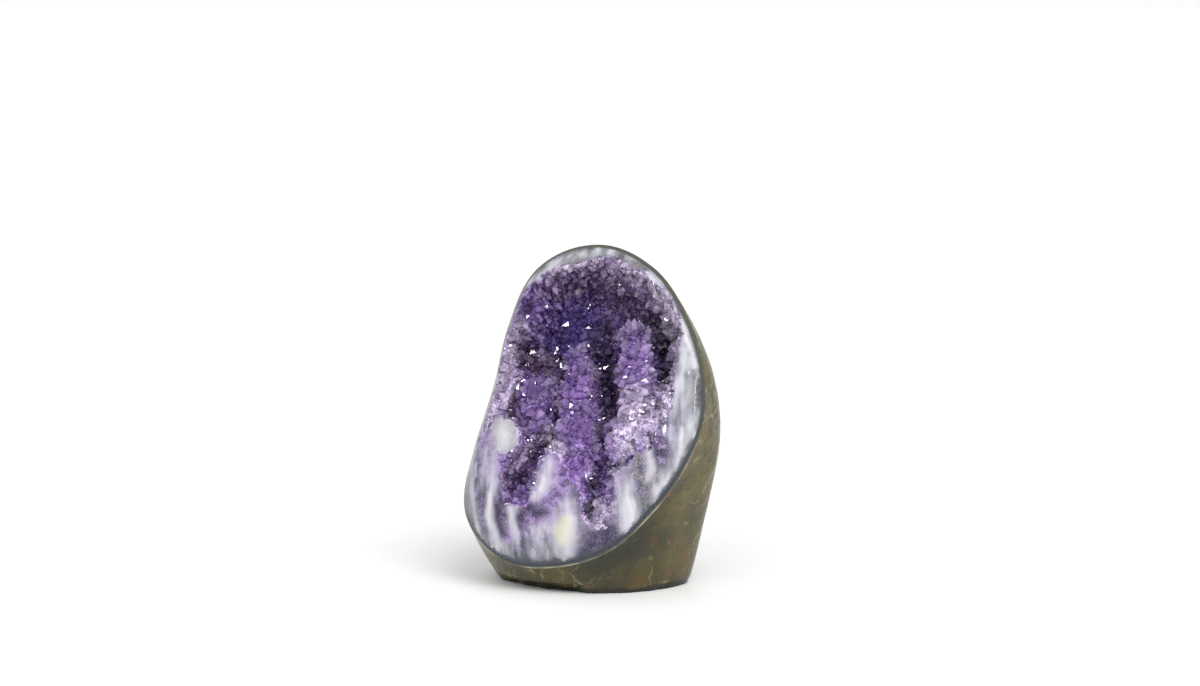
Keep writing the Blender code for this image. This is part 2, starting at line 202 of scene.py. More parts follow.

# Strokes over the face, each a list of (across, up, half width): where the crests are ground flush, and
# where the polished stone is milky, white, violet, lilac, smoky, yellowish or dusky. Some white strokes are
# highlights painted on the right column's polished foot and the right rim.
GROUND = {
    "boss": ((-20.5, -9.3, 5.3), (-19.3, -10.8, 5.3)),
    "slanting streak": ((-1.5, -18, 3.5), (-2, -23, 6), (-3, -30, 6)),
    "cream patch": ((5, -27, 3.5), (4, -34, 6.5), (3, -42, 8)),
    "left flats": ((-28, -17, 6), (-27.5, -26, 6.5), (-26, -38, 7)),
    "foot": ((-16, -38, 4.5), (0, -41, 6)),
}
MILKY = {
    "boss": ((-20.5, -9.3, 4.6), (-19.3, -10.8, 4.6)),
    "left flats": ((-27, -17, 3), (-26, -27, 3.5)),
    "slanting streak": ((-2, -18.5, 2), (-3.5, -24, 3.3), (-6, -29.5, 2.2)),
    "streak head": ((-4, -10.5, 1.5), (-1, -12.5, 1.7)),
    "cream patch": ((7, -33, 3), (6.2, -38, 4.6), (2.8, -43.5, 4.8)),
    "cream wisp": ((-4, -43, 2.2), (0, -40.5, 3)),
    "left rim": ((-33.5, 24, 1.6), (-34.5, 6, 1.8)),
    "far left streak": ((-34, -20, 1.3), (-33.5, -38, 1.6)),
    "left streak": ((-25, -28, 1.9), (-24.5, -44, 2.1)),
    "lower left streak": ((-15, -35, 1.6), (-14.5, -46, 1.9)),
    "foot streak": ((-10, -44, 1.2), (-9.5, -50, 1.2)),
    "middle foot": ((-6, -42, 1.8), (-4, -48, 2.4)),
    "right column foot": ((24.5, -12, 2), (25, -24, 2.8), (25, -40, 2.5)),
    "right column streak": ((32, -8, 1.1), (32.5, -21, 1.2)),
    "right wisp": ((35.5, -24, 1.3), (33, -34, 1.8)),
    "right rim": ((40.5, 26, 2), (41, 10, 2.4), (42, -4, 2.4), (39, -20, 1.8), (34, -34, 1.8)),
    "top left rim": ((-24, 45.5, 1.2), (-15, 52.5, 1.6), (-5, 56.5, 1.4)),
    "upper right rim": (
        (21.5, 51.8, 0.9), (29.5, 44.6, 0.9), (35.3, 35.8, 0.9), (40, 27.5, 1), (43, 19, 1.2),
    ),
}
WHITE_AND_HIGHLIGHTS = {
    "boss": ((-20.7, -9.3, 4.1), (-19.8, -10.8, 4.1)),
    "slanting streak": ((-4, -24, 0.7), (-5, -27, 0.7)),
    "cream patch": ((7, -37, 1.4), (4.8, -43, 2.4)),
    "left streak": ((-25, -31, 0.8), (-24.5, -40, 1)),
    # painted highlights: thin white lines where the right column's polished foot and the right rim catch the
    # light
    "right column line": ((26.3, -28, 0.4), (26, -37, 0.5)),
    "right rim line": ((42.5, -2, 0.5), (41.5, -11, 0.5)),
    "upper right rim": ((29.5, 44.6, 0.4), (35.3, 35.8, 0.5), (40, 27.5, 0.5), (43, 19, 0.5)),
}
VIOLET = {
    "left flats": ((-30, -4, 7), (-30, -20, 7), (-26, -32, 7)),
    "lower left": ((-22, -34, 9), (-8, -37, 9), (-14, -44, 5)),
    "middle foot": ((2, -22, 10), (-1, -31, 8)),
    "foot": ((0, -38, 5), (-6, -46, 3.5)),
    "dark patch": ((10, -43, 5.5), (18, -43, 6)),
    "right foot": ((14, -34, 7), (20, -34, 5)),
    "right flats": ((24, -6, 9), (35, -4, 6), (35, -14, 4)),
    "right column side": ((20.5, -14, 4), (20, -26, 4)),
    "right flats low": ((29, -14, 4), (30, -24, 3)),
    "left rim": ((-27, 20, 3), (-28.5, 6, 3), (-32, -8, 4)),
    "upper left rim": ((-22, 44, 5), (-28, 30, 4)),
    "upper right rim": ((26, 46, 4), (36, 32, 4)),
}
LILAC = {
    "streak hill": ((-0.5, -12, 4), (-1, -21, 7.5), (-2, -31, 7)),
    "left flats": ((-29, -13, 4), (-23, -19, 5), (-26, -26, 4)),
    "right column foot": ((22, -9, 4), (20.5, -22, 3.6)),
    "foot": ((-19, -44, 2), (-1, -38, 2.4)),
}
SMOKY = {
    "right quartz": ((33, -18, 3.5), (34, -30, 4)),
    "right rim cloud": ((44, 22, 2), (44, 6, 2)),
    "right outer cloud": ((45, -8, 1.6), (38, -28, 1.6)),
    "right foot cloud": ((29, -10, 2.5), (29.5, -20, 1.8)),
    "foot cloud": ((0, -49.5, 2), (6, -50, 1.6)),
    "top cloud": ((-18, 52, 5), (-8, 56, 4)),
    "top right cloud": ((10, 58, 3), (24, 52, 3)),
}
YELLOWISH = {
    "cream foot": ((5, -38, 1.8), (3.5, -42.5, 2.4)),
    "left rim": ((-34, 14, 0.8), (-34.5, 2, 0.8)),
}
DUSKY = {
    "foot patch": ((10, -46.5, 3.2), (15, -44.5, 5), (20.5, -40.5, 4)),
    "left patch": ((-30, -27, 2), (-21, -35, 2.2), (-20, -43, 1.6)),
    "middle patch": ((-11, -38, 2), (-9, -34, 2), (-3, -36, 2)),
    "right patch": ((27, -9, 2), (33, -12, 2)),
    "foot flecks": ((-19, -32, 1.4), (-12, -41, 1.6)),
}

# How softly the strokes end, against their half width: those of the ground and the milky ones, and
# with them the strokes that are kept on the agate alone
GROUND_SOFTNESS = 0.4
MILKY_SOFTNESS = 0.9
AGATE_PAINTS = {
    "violet": (VIOLET, 0.9),
    "lilac": (LILAC, 0.9),
    "dusky": (DUSKY, 1.0),
    "smoky": (SMOKY, 0.6),
    "white": (WHITE_AND_HIGHLIGHTS, 1.6),
    "yellowish": (YELLOWISH, 0.9),
}

# Zones of the crystals, in the same form, as they show on the face to someone who stands on its right
SIDE_VIEW = (0.47, -0.15)
ZONE_SOFTNESS = 0.8
ZONES = {
    "indigo": {
        "bowl": ((2, 37, 11), (-2, 26, 11)),
        "bowl foot": ((-9, 22, 6), (5, 26, 8)),
    },
    "plum": {
        "top": ((-14, 46, 6), (4, 48, 7), (20, 42, 9)),
        "upper right": ((26, 36, 9), (34, 26, 6)),
        "left column foot": ((-19, 1, 4), (-15, -3, 4)),
        "left cleft": ((-6, -10, 3), (-14, -20, 4.5), (-18, -27, 4)),
        "left step": ((-19, 18, 4), (-12, 14, 4)),
    },
    "bright": {
        "middle column": ((6, 16, 4), (6, 6, 5), (7, -5, 8), (8, -18, 7), (8, -27, 5)),
        "right column": ((24, 24, 5), (26, 13, 6)),
        "left column": ((-10, 9, 6), (-12, 0, 6)),
        "inner step": ((19, -3, 3.5), (19, -9, 3.5)),
        "far left": ((-28, 4, 4), (-29, -14, 6)),
    },
    "blush": {
        "right column": ((27, 6, 4.5), (28, 0, 7), (24, -8, 5), (34, 2, 4)),
        "right edge": ((40, 24, 2.5), (38, 8, 3), (37, -4, 4)),
        "upper right": ((8, 54, 2), (23, 49, 2.8), (33, 39, 2.8), (38, 29, 3)),
        "top": ((-16, 50, 1.4), (-8, 52.5, 1.6), (2, 54, 1.8)),
        "left edge": ((-25, 28, 4), (-27, 15, 5), (-30, 4, 4), (-30, -12, 4)),
        "left column rim": ((-19, 11, 2), (-24, 2, 3)),
        "lower pocket": ((17, -33, 3.5), (17, -41, 4)),
        "middle column shoulder": ((-3, -9, 2.5), (1, -15, 2.5)),
    },
    "umber": {
        "left pocket": ((-18, 19, 4), (-13, 15.5, 5), (-6, 14.5, 4)),
        "left wall": ((-19, 4, 1.2), (-17.5, -3, 1.6)),
    },
    # smoke: dark smoky crystals in the clefts and pockets, darkened further as their painted shade
    "smoke": {
        "middle cleft": ((13, 27, 5), (14, 18, 5.2), (16, 10, 4.6), (16.8, 3, 3.8), (17.5, -1, 2.2)),
        "middle cleft foot": ((15, -5, 1.5), (15.5, -11, 1.1)),
        "lower cleft": ((16.5, -19, 1.5), (15, -26, 2.4)),
        "right cleft": ((29, 34, 3.5), (32.5, 26, 4.5), (34.5, 17, 3), (35, 11, 1.8)),
        "right edge cleft": ((35, 5, 0.9), (36, -4, 0.8)),
        "left cleft": ((-1.5, 12, 1.1), (-2.5, 2, 1.2)),
        "lower pocket": ((13.5, -31, 2), (14, -36, 1.5)),
    },
}

# Each zone's colour, and its share at most
ZONE_COLOURS = {
    "indigo": ("#3f3277", 0.85),
    "plum": ("#5d4066", 0.85),
    "bright": ("#8c69b1", 0.95),
    "blush": ("#d3c5db", 0.95),
    "milky": ("#c9c2d3", 0.9),
    # crest is a highlight painted on the druse's crests, cleft is shade painted in its creases
    "crest": ("#cfbde0", 0.55),
    "cleft": ("#251a3b", 0.7),
    "umber": ("#3f2340", 0.95),
    # smoke: painted shade of the clefts and pockets, over dark smoky crystals
    "smoke": ("#2b203e", 0.93),
}


# Curves, strokes and noise

def smooth_step(x):
    x = np.clip(x, 0, 1)
    return x * x * (3 - 2 * x)


def radius_at(radii, angle):
    """A closed curve through even angles, by its radius at any angle."""
    radii = np.array(radii, float)
    count = len(radii)
    place = (np.asarray(angle) / (2 * math.pi)) % 1.0 * count
    i = place.astype(int) % count
    t = place - np.floor(place)
    a, b, c, d = (radii[(i + k) % count] for k in (-1, 0, 1, 2))
    return b + 0.5 * t * (c - a + t * (2 * a - 5 * b + 4 * c - d + t * (3 * (b - c) + d - a)))


def direction(turn, tilt):
    """The way that a turn from the front to the right and a tilt upwards give, in degrees."""
    turn, tilt = math.radians(turn), math.radians(tilt)
    return np.array((math.sin(turn) * math.cos(tilt), -math.cos(turn) * math.cos(tilt), math.sin(tilt)))


def along(points, across, up):
    """For each place, how far aside a line of (across, up, ..., half width) points it lies, in half
    widths, and the values between at the nearest spot of the line."""
    best = np.full(np.shape(across), np.inf)
    values = [np.zeros(np.shape(across)) for _ in points[0][2:]]
    for start, end in zip(points, points[1:]):
        run, rise = end[0] - start[0], end[1] - start[1]
        t = np.clip(((across - start[0]) * run + (up - start[1]) * rise) / (run * run + rise * rise), 0, 1)
        here = [s + t * (e - s) for s, e in zip(start[2:], end[2:])]
        aside = np.hypot(across - start[0] - t * run, up - start[1] - t * rise) / here[-1]
        nearer = aside < best
        best = np.where(nearer, aside, best)
        values = [np.where(nearer, new, old) for new, old in zip(here, values)]
    return best, values


def wandered(across, up, amount, size, seed):
    """Places pushed aside by soft noise, so that what follows them gets a natural edge."""
    aside = amount * soft_noise(across, up, size, seed)
    return across + aside, up + amount * soft_noise(across, up, size, seed + 1)


def painted(strokes, across, up, softness):
    """1 under the strokes, fading to 0 over their edges, which are this soft against their half width."""
    across, up = wandered(across, up, PAINT_WANDER, PAINT_WANDER_SIZE, SEED + 20)
    cover = np.zeros(np.shape(across))
    for points in strokes.values():
        aside, _ = along(points, across, up)
        cover = np.maximum(cover, smooth_step((1 + softness - aside) / (2 * softness)))
    return cover


def soft_noise(x, y, size, seed):
    """Smooth noise between -1 and 1, with blobs of this size."""
    cells = 64
    values = np.random.default_rng(seed).uniform(-1, 1, (cells, cells))
    x, y = np.asarray(x) / size + cells / 2, np.asarray(y) / size + cells / 2
    i, j = np.floor(x).astype(int), np.floor(y).astype(int)
    s, t = smooth_step(x - i), smooth_step(y - j)
    corner = [[values[(i + di) % cells, (j + dj) % cells] for dj in (0, 1)] for di in (0, 1)]
    near = corner[0][0] * (1 - s) + corner[1][0] * s
    far = corner[0][1] * (1 - s) + corner[1][1] * s
    return near * (1 - t) + far * t


def summed_noise(across, up, noises):
    """Soft noises on the face added up, each given by its size, amount and seed."""
    return sum(amount * soft_noise(across, up, size, SEED + seed) for size, amount, seed in noises)


def all_round_noise(points, ways, size, seed):
    """Soft noise on points all round the stone: from three sides, each where it is faced most."""
    total, weights = 0, 0
    for i, (a, b) in enumerate(((1, 2), (0, 2), (0, 1))):
        weight = ways[:, i] ** 4
        total = total + weight * soft_noise(points[:, a], points[:, b], size, seed + 50 * i)
        weights = weights + weight
    return total / weights


def lumps(across, up, spacing, seed):
    """Round lumps side by side: 1 on their tops, about 0 in the creases between them."""
    rng = random.Random(seed)
    centres = []
    half = max(RIM_RADII)
    while len(centres) < (2 * half / spacing) ** 2:
        spot = (rng.uniform(-half, half), rng.uniform(-half, half))
        if all(math.dist(spot, other) > spacing * LUMPS_APART for other in centres):
            centres.append(spot)
    nearest = np.full(np.shape(across), np.inf)
    for x, y in centres:
        nearest = np.minimum(nearest, np.hypot(across - x, up - y))
    return np.sqrt(np.clip(1 - (nearest / (spacing * LUMP_REACH)) ** 2, 0, 1))


# The polished face

FACE_NORMAL = direction(0, FACE_LEAN)
FACE_ACROSS = np.array((1.0, 0.0, 0.0))
FACE_UP = np.cross(FACE_NORMAL, FACE_ACROSS)
FACE_CENTRE = STONE_CENTRE + FACE_NORMAL * RIM_FORWARD


def face_height(across, up):
    """How far the polished face stands in front of the plane of its rim."""
    angle = np.arctan2(up, across)
    roll = (np.hypot(across, up) / radius_at(RIM_RADII, angle)) ** ROLL_POWER
    wave = sum(size * np.sin(count * angle + phase) for count, size, phase in RIM_WAVES)
    return FACE_DOME * (1 - roll) + wave * roll


def face_points(across, up, depth=0.0):
    """Points under the polished face, at this depth."""
    height = face_height(across, up) - depth
    plan = np.multiply.outer(across, FACE_ACROSS) + np.multiply.outer(up, FACE_UP)
    return FACE_CENTRE + plan + np.multiply.outer(height, FACE_NORMAL)


def on_face(points):
    """Across, up and depth under the polish of points given in the part's own frame."""
    away = points - FACE_CENTRE
    across, up, height = away @ FACE_ACROSS, away @ FACE_UP, away @ FACE_NORMAL
    return across, up, face_height(across, up) - height


def column_depth(crest, across, up):
    """Depth of a column's surface: rounded over its crest and steep on its flanks."""
    aside, (depth, _) = along(crest, across, up)
    flank = FLANK_DROP * np.maximum(0, aside - FLANK_STARTS) ** FLANK_POWER
    return depth + CREST_ROUNDING * aside * aside + flank


def hollow_depth(across, up):
    """Depth of the hollow under the polished face: 0 where the stone is polished."""
    angle = np.arctan2(up, across)
    radius = np.hypot(across, up)
    wander = summed_noise(across, up, EDGE_NOISES)
    from_edge = radius_at(FIELD_RADII, angle) + EDGE_SPREAD + wander - radius
    turn = np.degrees(angle) % 360
    wall = np.interp(turn, *zip(*WALL_WIDTHS))
    floor = HOLLOW_DEPTH * np.interp(up, *zip(*DEPTH_BY_HEIGHT))
    part = np.clip(from_edge / wall, 0, 1)
    depth = EDGE_DEPTH + floor * (1 - (1 - part) ** 2)
    places = across, up
    for size, amount in COLUMN_WANDER:
        places = wandered(*places, amount, size, SEED + 10)
    crests = np.minimum.reduce([column_depth(crest, *places) for crest in COLUMNS.values()])
    depth = np.minimum(depth, crests)
    room = smooth_step(depth / LUMPS_FULL_AT)
    for spacing, height in LUMPS:
        depth = depth + room * height * (0.5 - lumps(across, up, spacing, SEED))
    depth = depth + summed_noise(across, up, FLOOR_NOISES)
    ground = painted(GROUND, across, up, GROUND_SOFTNESS)
    depth = np.maximum(depth * (1 - ground) - FLUSH_DEPTH, 0) * smooth_step(from_edge / EDGE_WIDTH)
    return depth + BED_SINK * smooth_step(depth / BED_SINK_OVER)


class FaceMaps:
    """The hollow's depth over the face, how far each place stands out from what is around it, and how
    near the polished agate is to the crystals, on a fine even grid."""

    def __init__(self):
        self.half = max(RIM_RADII) + 4
        line = np.arange(-self.half, self.half, GRID)
        across, up = np.meshgrid(line, line, indexing="ij")
        self.depth = hollow_depth(across, up)
        self.relief = self.spread(self.depth, RELIEF_WIDTH) - self.depth
        self.tint = self.spread((self.depth > 0) * 1.0, TINT_WIDTH)

    def spread(self, values, width):
        """Values averaged over a soft round spot of about this width."""
        cells = int(round(width / GRID / 2))
        for axis in (0, 1):
            for _ in range(2):
                values = np.mean([np.roll(values, k, axis) for k in range(-cells, cells + 1)], axis=0)
        return values

    def read(self, values, across, up):
        x, y = (np.asarray(across) + self.half) / GRID, (np.asarray(up) + self.half) / GRID
        i = np.clip(np.floor(x).astype(int), 0, len(values) - 2)
        j = np.clip(np.floor(y).astype(int), 0, len(values) - 2)
        s, t = np.clip(x - i, 0, 1), np.clip(y - j, 0, 1)
        near = values[i, j] * (1 - s) + values[i + 1, j] * s
        far = values[i, j + 1] * (1 - s) + values[i + 1, j + 1] * s
        return near * (1 - t) + far * t


maps = FaceMaps()


def flute_depth(across, up):
    """Shallow upright grooves in the polished agate, deepest at its right and lower border."""
    groove = soft_noise(across * FLUTE_LENGTH / FLUTE_WIDTH, up, FLUTE_LENGTH, SEED + 4)
    share = np.hypot(across, up) / radius_at(RIM_RADII, np.arctan2(up, across))
    from_left = across + 0.5 * np.maximum(-up, 0)
    side = smooth_step((from_left - FLUTES_FROM) / (FLUTES_FULL_AT - FLUTES_FROM))
    return FLUTE_DEPTH * (0.5 + 0.5 * groove) * side * smooth_step((1 - share) / FLUTE_EDGE)


# The outside of the stone, from the rim round to the back

def reach(ways, floor=None):
    """Distance from the stone's centre to its ground flats, whose edges run softly into each other."""
    total = np.zeros(ways.shape[:-1])
    for turn, tilt, distance in FLATS.values():
        total += np.maximum(0, ways @ direction(turn, tilt) / distance) ** EDGE_SHARPNESS
    if floor is not None:
        total += np.maximum(0, -ways[..., 2] / floor) ** EDGE_SHARPNESS
    return total ** (-1 / EDGE_SHARPNESS)


def rim_plan(inset):
    """Across and up of the rim's points, this far inside the rind's outside."""
    angles = np.linspace(0, 2 * math.pi, AROUND, endpoint=False)
    radii = radius_at(RIM_RADII, angles) - inset
    return radii * np.cos(angles), radii * np.sin(angles)


def shell_ring(share, inset):
    """Points at this share of the way from the rim to the back, this far inside the rind's outside."""
    if share == 0:
        return face_points(*rim_plan(inset))
    to_rim = face_points(*rim_plan(0.0)) - STONE_CENTRE
    distance = np.linalg.norm(to_rim, axis=1)
    ways = to_rim / distance[:, None]
    sweep = np.arccos(ways @ -FACE_NORMAL)
    turned = ways * np.sin((1 - share) * sweep)[:, None] - FACE_NORMAL * np.sin(share * sweep)[:, None]
    turned /= np.sin(sweep)[:, None]
    fit = 1 + (distance / reach(ways) - 1) * (1 - share) ** RIM_FADE_POWER
    floor = STONE_CENTRE[2] - RIND_OVER_BASE if inset else None
    return STONE_CENTRE + turned * (fit * reach(turned, floor) - inset)[:, None]


def back_point(inset):
    return STONE_CENTRE - FACE_NORMAL * (reach(-FACE_NORMAL) - inset)


def rind_thickness(share):
    """The rind's thickness at this share of the way from the rim to the back."""
    return RIND_AT_RIM + (RIND_AT_BACK - RIND_AT_RIM) * smooth_step(share / RIND_FULL_AT)


# Meshes

class RingMesh:
    """A closed skin of rings, from a tip at one end to a tip at the other."""

    def __init__(self):
        self.points = []
        self.faces = []
        self.rings = 0

    def tip(self, point):
        self.points.append(np.array([point]))
        index = sum(len(p) for p in self.points) - 1
        first = self.rings == 0
        start = 1 if first else index - AROUND
        for i in range(AROUND):
            j = (i + 1) % AROUND
            self.faces.append((index, start + i, start + j) if first else (start + j, start + i, index))

    def ring(self, points):
        start = sum(len(p) for p in self.points)
        if self.rings:
            before = start - AROUND
            for i in range(AROUND):
                j = (i + 1) % AROUND
                self.faces.append((before + i, start + i, start + j, before + j))
        self.points.append(points)
        self.rings += 1

    def mesh(self, name):
        made = bpy.data.meshes.new(name)
        made.from_pydata((np.vstack(self.points) * METRE).tolist(), [], self.faces)
        return made


def add_object(name, mesh):
    made = bpy.data.objects.new(name, mesh)
    bpy.context.scene.collection.objects.link(made)
    return made


def vertex_places(mesh):
    """The vertices of a mesh, in millimetres."""
    flat = np.empty(len(mesh.vertices) * 3)
    mesh.vertices.foreach_get("co", flat)
    return flat.reshape(-1, 3) / METRE


def set_places(mesh, places):
    mesh.vertices.foreach_set("co", (places * METRE).ravel())
    mesh.update()


def store(mesh, name, values):
    """Keeps one number for each vertex, for the materials."""
    layer = mesh.attributes.get(name) or mesh.attributes.new(name, "FLOAT", "POINT")
    layer.data.foreach_set("value", np.ascontiguousarray(values, np.float32))


def turn_outwards(mesh):
    bm = bmesh.new()
    bm.from_mesh(mesh)
    bmesh.ops.recalc_face_normals(bm, faces=bm.faces[:])
    bm.to_mesh(mesh)
    bm.free()


# Materials

def linear(code):
    """A colour written as sRGB hex, made linear."""
    parts = [int(code[k:k + 2], 16) / 255 for k in (1, 3, 5)]
    return [p / 12.92 if p <= 0.04045 else ((p + 0.055) / 1.055) ** 2.4 for p in parts] + [1.0]


def sized(size):
    """The scale of a pattern whose details have this size in millimetres."""
    return 1 / (size * METRE)


def add(tree, kind, inputs=None, stops=None, **settings):
    """Adds a node with its settings, the values, colour codes or links of its inputs, and the stops of
    its colour ramp. A node given as a link stands for its first output in use."""
    made = tree.nodes.new(kind)
    for name, value in settings.items():
        setattr(made, name, value)
    for key, value in (inputs or {}).items():
        named = [s for s in made.inputs if key in (s.identifier, s.name)]
        socket = made.inputs[key] if isinstance(key, int) else named[0]
        if isinstance(value, bpy.types.Node):
            value = next(s for s in value.outputs if s.enabled)
        if isinstance(value, bpy.types.NodeSocket):
            tree.links.new(value, socket)
        else:
            socket.default_value = linear(value) if str(value).startswith("#") else value
    if stops:
        ramp = made.color_ramp
        while len(ramp.elements) < len(stops):
            ramp.elements.new(0.5)
        for element, (place, colour) in zip(ramp.elements, stops):
            element.position = place
            element.color = linear(colour) if isinstance(colour, str) else (colour, colour, colour, 1)
    return made


def new_material(name):
    made = bpy.data.materials.new(name)
    made.use_nodes = True
    made.node_tree.nodes.clear()
    return made, made.node_tree


def kept_values(tree, names):
    """The numbers kept on the mesh under these names."""
    return {name: add(tree, "ShaderNodeAttribute", attribute_name=name).outputs["Fac"] for name in names}


def laid_over(tree, body, layers):
    """Colours laid over a body one after another. A layer is a colour and what its share is multiplied
    from: plain values, or a value with the two ends that it runs between and the share at each."""
    for colour, *factors in layers:
        share = None
        for factor in factors:
            if isinstance(factor, tuple):
                limits = dict(zip(("Value", "From Min", "From Max", "To Min", "To Max"), factor))
                factor = add(tree, "ShaderNodeMapRange", limits)
            if share is None:
                share = factor
            else:
                share = add(tree, "ShaderNodeMath", {0: share, 1: factor}, operation="MULTIPLY")
        mixed = {"Factor_Float": share, "A_Color": body, "B_Color": colour}
        body = add(tree, "ShaderNodeMix", mixed, data_type="RGBA")
    return body


def basalt_material():
    """Fine-grained olive basalt, ground in flats and waxed: a satin gloss over a clouded, veined body,
    with painted shade at its foot and under the rim and a highlight painted along the rim.
    """
    made, tree = new_material("ground_basalt")
    place = add(tree, "ShaderNodeTexCoord").outputs["Object"]
    from_rim = kept_values(tree, ("from_rim",))["from_rim"]
    spot = add(tree, "ShaderNodeSeparateXYZ", {0: place}).outputs

    # clouds, brown patches and rust: seed, size, detail, roughness
    patterns = {}
    for name, seed, size, detail, roughness in (
        ("clouds", 0.0, 18, 8.0, 0.66), ("brown", 3.0, 13, 5.0, 0.6), ("rust", 6.0, 9, 4.0, 0.7),
    ):
        values = {"Vector": place, "W": seed, "Scale": sized(size), "Detail": detail, "Roughness": roughness}
        patterns[name] = add(tree, "ShaderNodeTexNoise", values, noise_dimensions="4D")
    clouds = patterns["clouds"]
    body = add(
        tree, "ShaderNodeValToRGB", {"Fac": clouds},
        stops=((0.34, "#353219"), (0.45, "#423c1b"), (0.55, "#50481f"), (0.68, "#655a2b")),
    )
    grain = {"Vector": place, "Scale": sized(0.7), "Detail": 3.0, "Roughness": 0.55}
    grain = add(tree, "ShaderNodeTexNoise", grain)
    speckle = add(tree, "ShaderNodeValToRGB", {"Fac": grain}, stops=((0.35, 0.38), (0.5, 0.5), (0.68, 0.64)))
    body = add(
        tree, "ShaderNodeMix", {"Factor_Float": 0.22, "A_Color": body, "B_Color": speckle},
        data_type="RGBA", blend_type="SOFT_LIGHT",
    )
    layers = [
        ("#5b4317", (patterns["brown"], 0.5, 0.64, 0.0, 0.6)),
        ("#7d421c", (patterns["rust"], 0.62, 0.72, 0.0, 0.5)),
    ]

    # thin pale veins where cracks have healed: how far apart, their inner and outer width against that,
    # the value of the gaps' pattern where they start, how strongly they show, and their seed
    warp = {"Vector": place, "Scale": sized(9), "Detail": 4.0}
    warp = add(tree, "ShaderNodeTexNoise", warp).outputs["Color"]
    bend = (10 * METRE,) * 3
    bent = add(tree, "ShaderNodeVectorMath", {0: warp, 1: bend, 2: place}, operation="MULTIPLY_ADD")
    for apart, inner, outer, start, most, seed in (
        (24, 0.002, 0.01, 0.5, 0.65, 8.0), (9, 0.003, 0.018, 0.57, 0.5, 11.0),
    ):
        net = {"Vector": bent, "W": seed, "Scale": sized(apart)}
        net = add(tree, "ShaderNodeTexVoronoi", net, voronoi_dimensions="4D", feature="DISTANCE_TO_EDGE")
        gaps = {"Vector": place, "W": seed, "Scale": sized(13), "Detail": 2.0}
        gaps = add(tree, "ShaderNodeTexNoise", gaps, noise_dimensions="4D")
        layers.append(("#a8a27c", (net, inner, outer, 1.0, 0.0), (gaps, start, start + 0.07, 0.0, most)))

    # flecks: how far apart, how wide against that, colour, seed
    for apart, wide, colour, seed in (
        (4.6, 0.24, "#8f8758", 0.0), (10, 0.17, "#8a3f1d", 4.0), (2.8, 0.3, "#24220f", 9.0),
    ):
        spots = {"Vector": bent, "W": seed, "Scale": sized(apart)}
        spots = add(tree, "ShaderNodeTexVoronoi", spots, voronoi_dimensions="4D")
        layers.append((colour, (spots, wide * 0.5, wide * 1.3, 0.55, 0.0)))

    # painted shade: near-black at the foot where the stone meets the table, and a dark band under the rim;
    # a pale line painted along the rim as the highlight of its rounded edge; and the rind's own front edge,
    # blue-grey low down and olive-grey at the top
    foot = add(tree, "ShaderNodeMath", {0: clouds, 1: 6 * METRE, 2: spot["Z"]}, operation="MULTIPLY_ADD")
    under = add(tree, "ShaderNodeMath", {0: clouds, 1: 30 * METRE, 2: from_rim}, operation="MULTIPLY_ADD")
    edge = {"Value": spot["Z"], "From Min": 40 * METRE, "From Max": 100 * METRE}
    edge = add(tree, "ShaderNodeMapRange", edge)
    edge = add(tree, "ShaderNodeValToRGB", {"Fac": edge}, stops=((0.0, "#31373e"), (1.0, "#4a4c42")))
    layers += [
        # painted shade at the foot, where the stone meets the table
        ("#0d0906", (foot, 4.2 * METRE, 5.2 * METRE, 0.95, 0.0)),
        # painted shade: the dark band under the overhanging rim
        (
            "#22241a", (under, 20 * METRE, 40 * METRE, 0.85, 0.0),
            (spot["X"], 24 * METRE, 34 * METRE, 1.0, 0.1), (spot["X"], 10 * METRE, -4 * METRE, 1.0, 0.4),
        ),
        # painted highlight: a pale line along the rim's rounded edge, fainter higher up
        (
            "#a5a38a", (from_rim, 0.15 * METRE, 0.4 * METRE, 0.75, 0.0),
            (clouds, 0.42, 0.52, 0.25, 1.0), (spot["Z"], 36 * METRE, 60 * METRE, 1.0, 0.12),
        ),
        (edge, (from_rim, -0.4 * METRE, -0.1 * METRE, 1.0, 0.0)),
    ]
    body = laid_over(tree, body, layers)

    gloss = {"Value": grain, "From Min": 0.3, "From Max": 0.7, "To Min": 0.18, "To Max": 0.34}
    gloss = add(tree, "ShaderNodeMapRange", gloss)
    bump = add(tree, "ShaderNodeBump", {"Height": grain, "Strength": 0.2, "Distance": 0.2 * METRE})
    shader = add(
        tree, "ShaderNodeBsdfPrincipled",
        {
            "Base Color": body, "Roughness": gloss, "Normal": bump, "IOR": BASALT_IOR,
            "Specular IOR Level": 0.3,
        },
    )
    add(tree, "ShaderNodeOutputMaterial", {"Surface": shader})
    return made


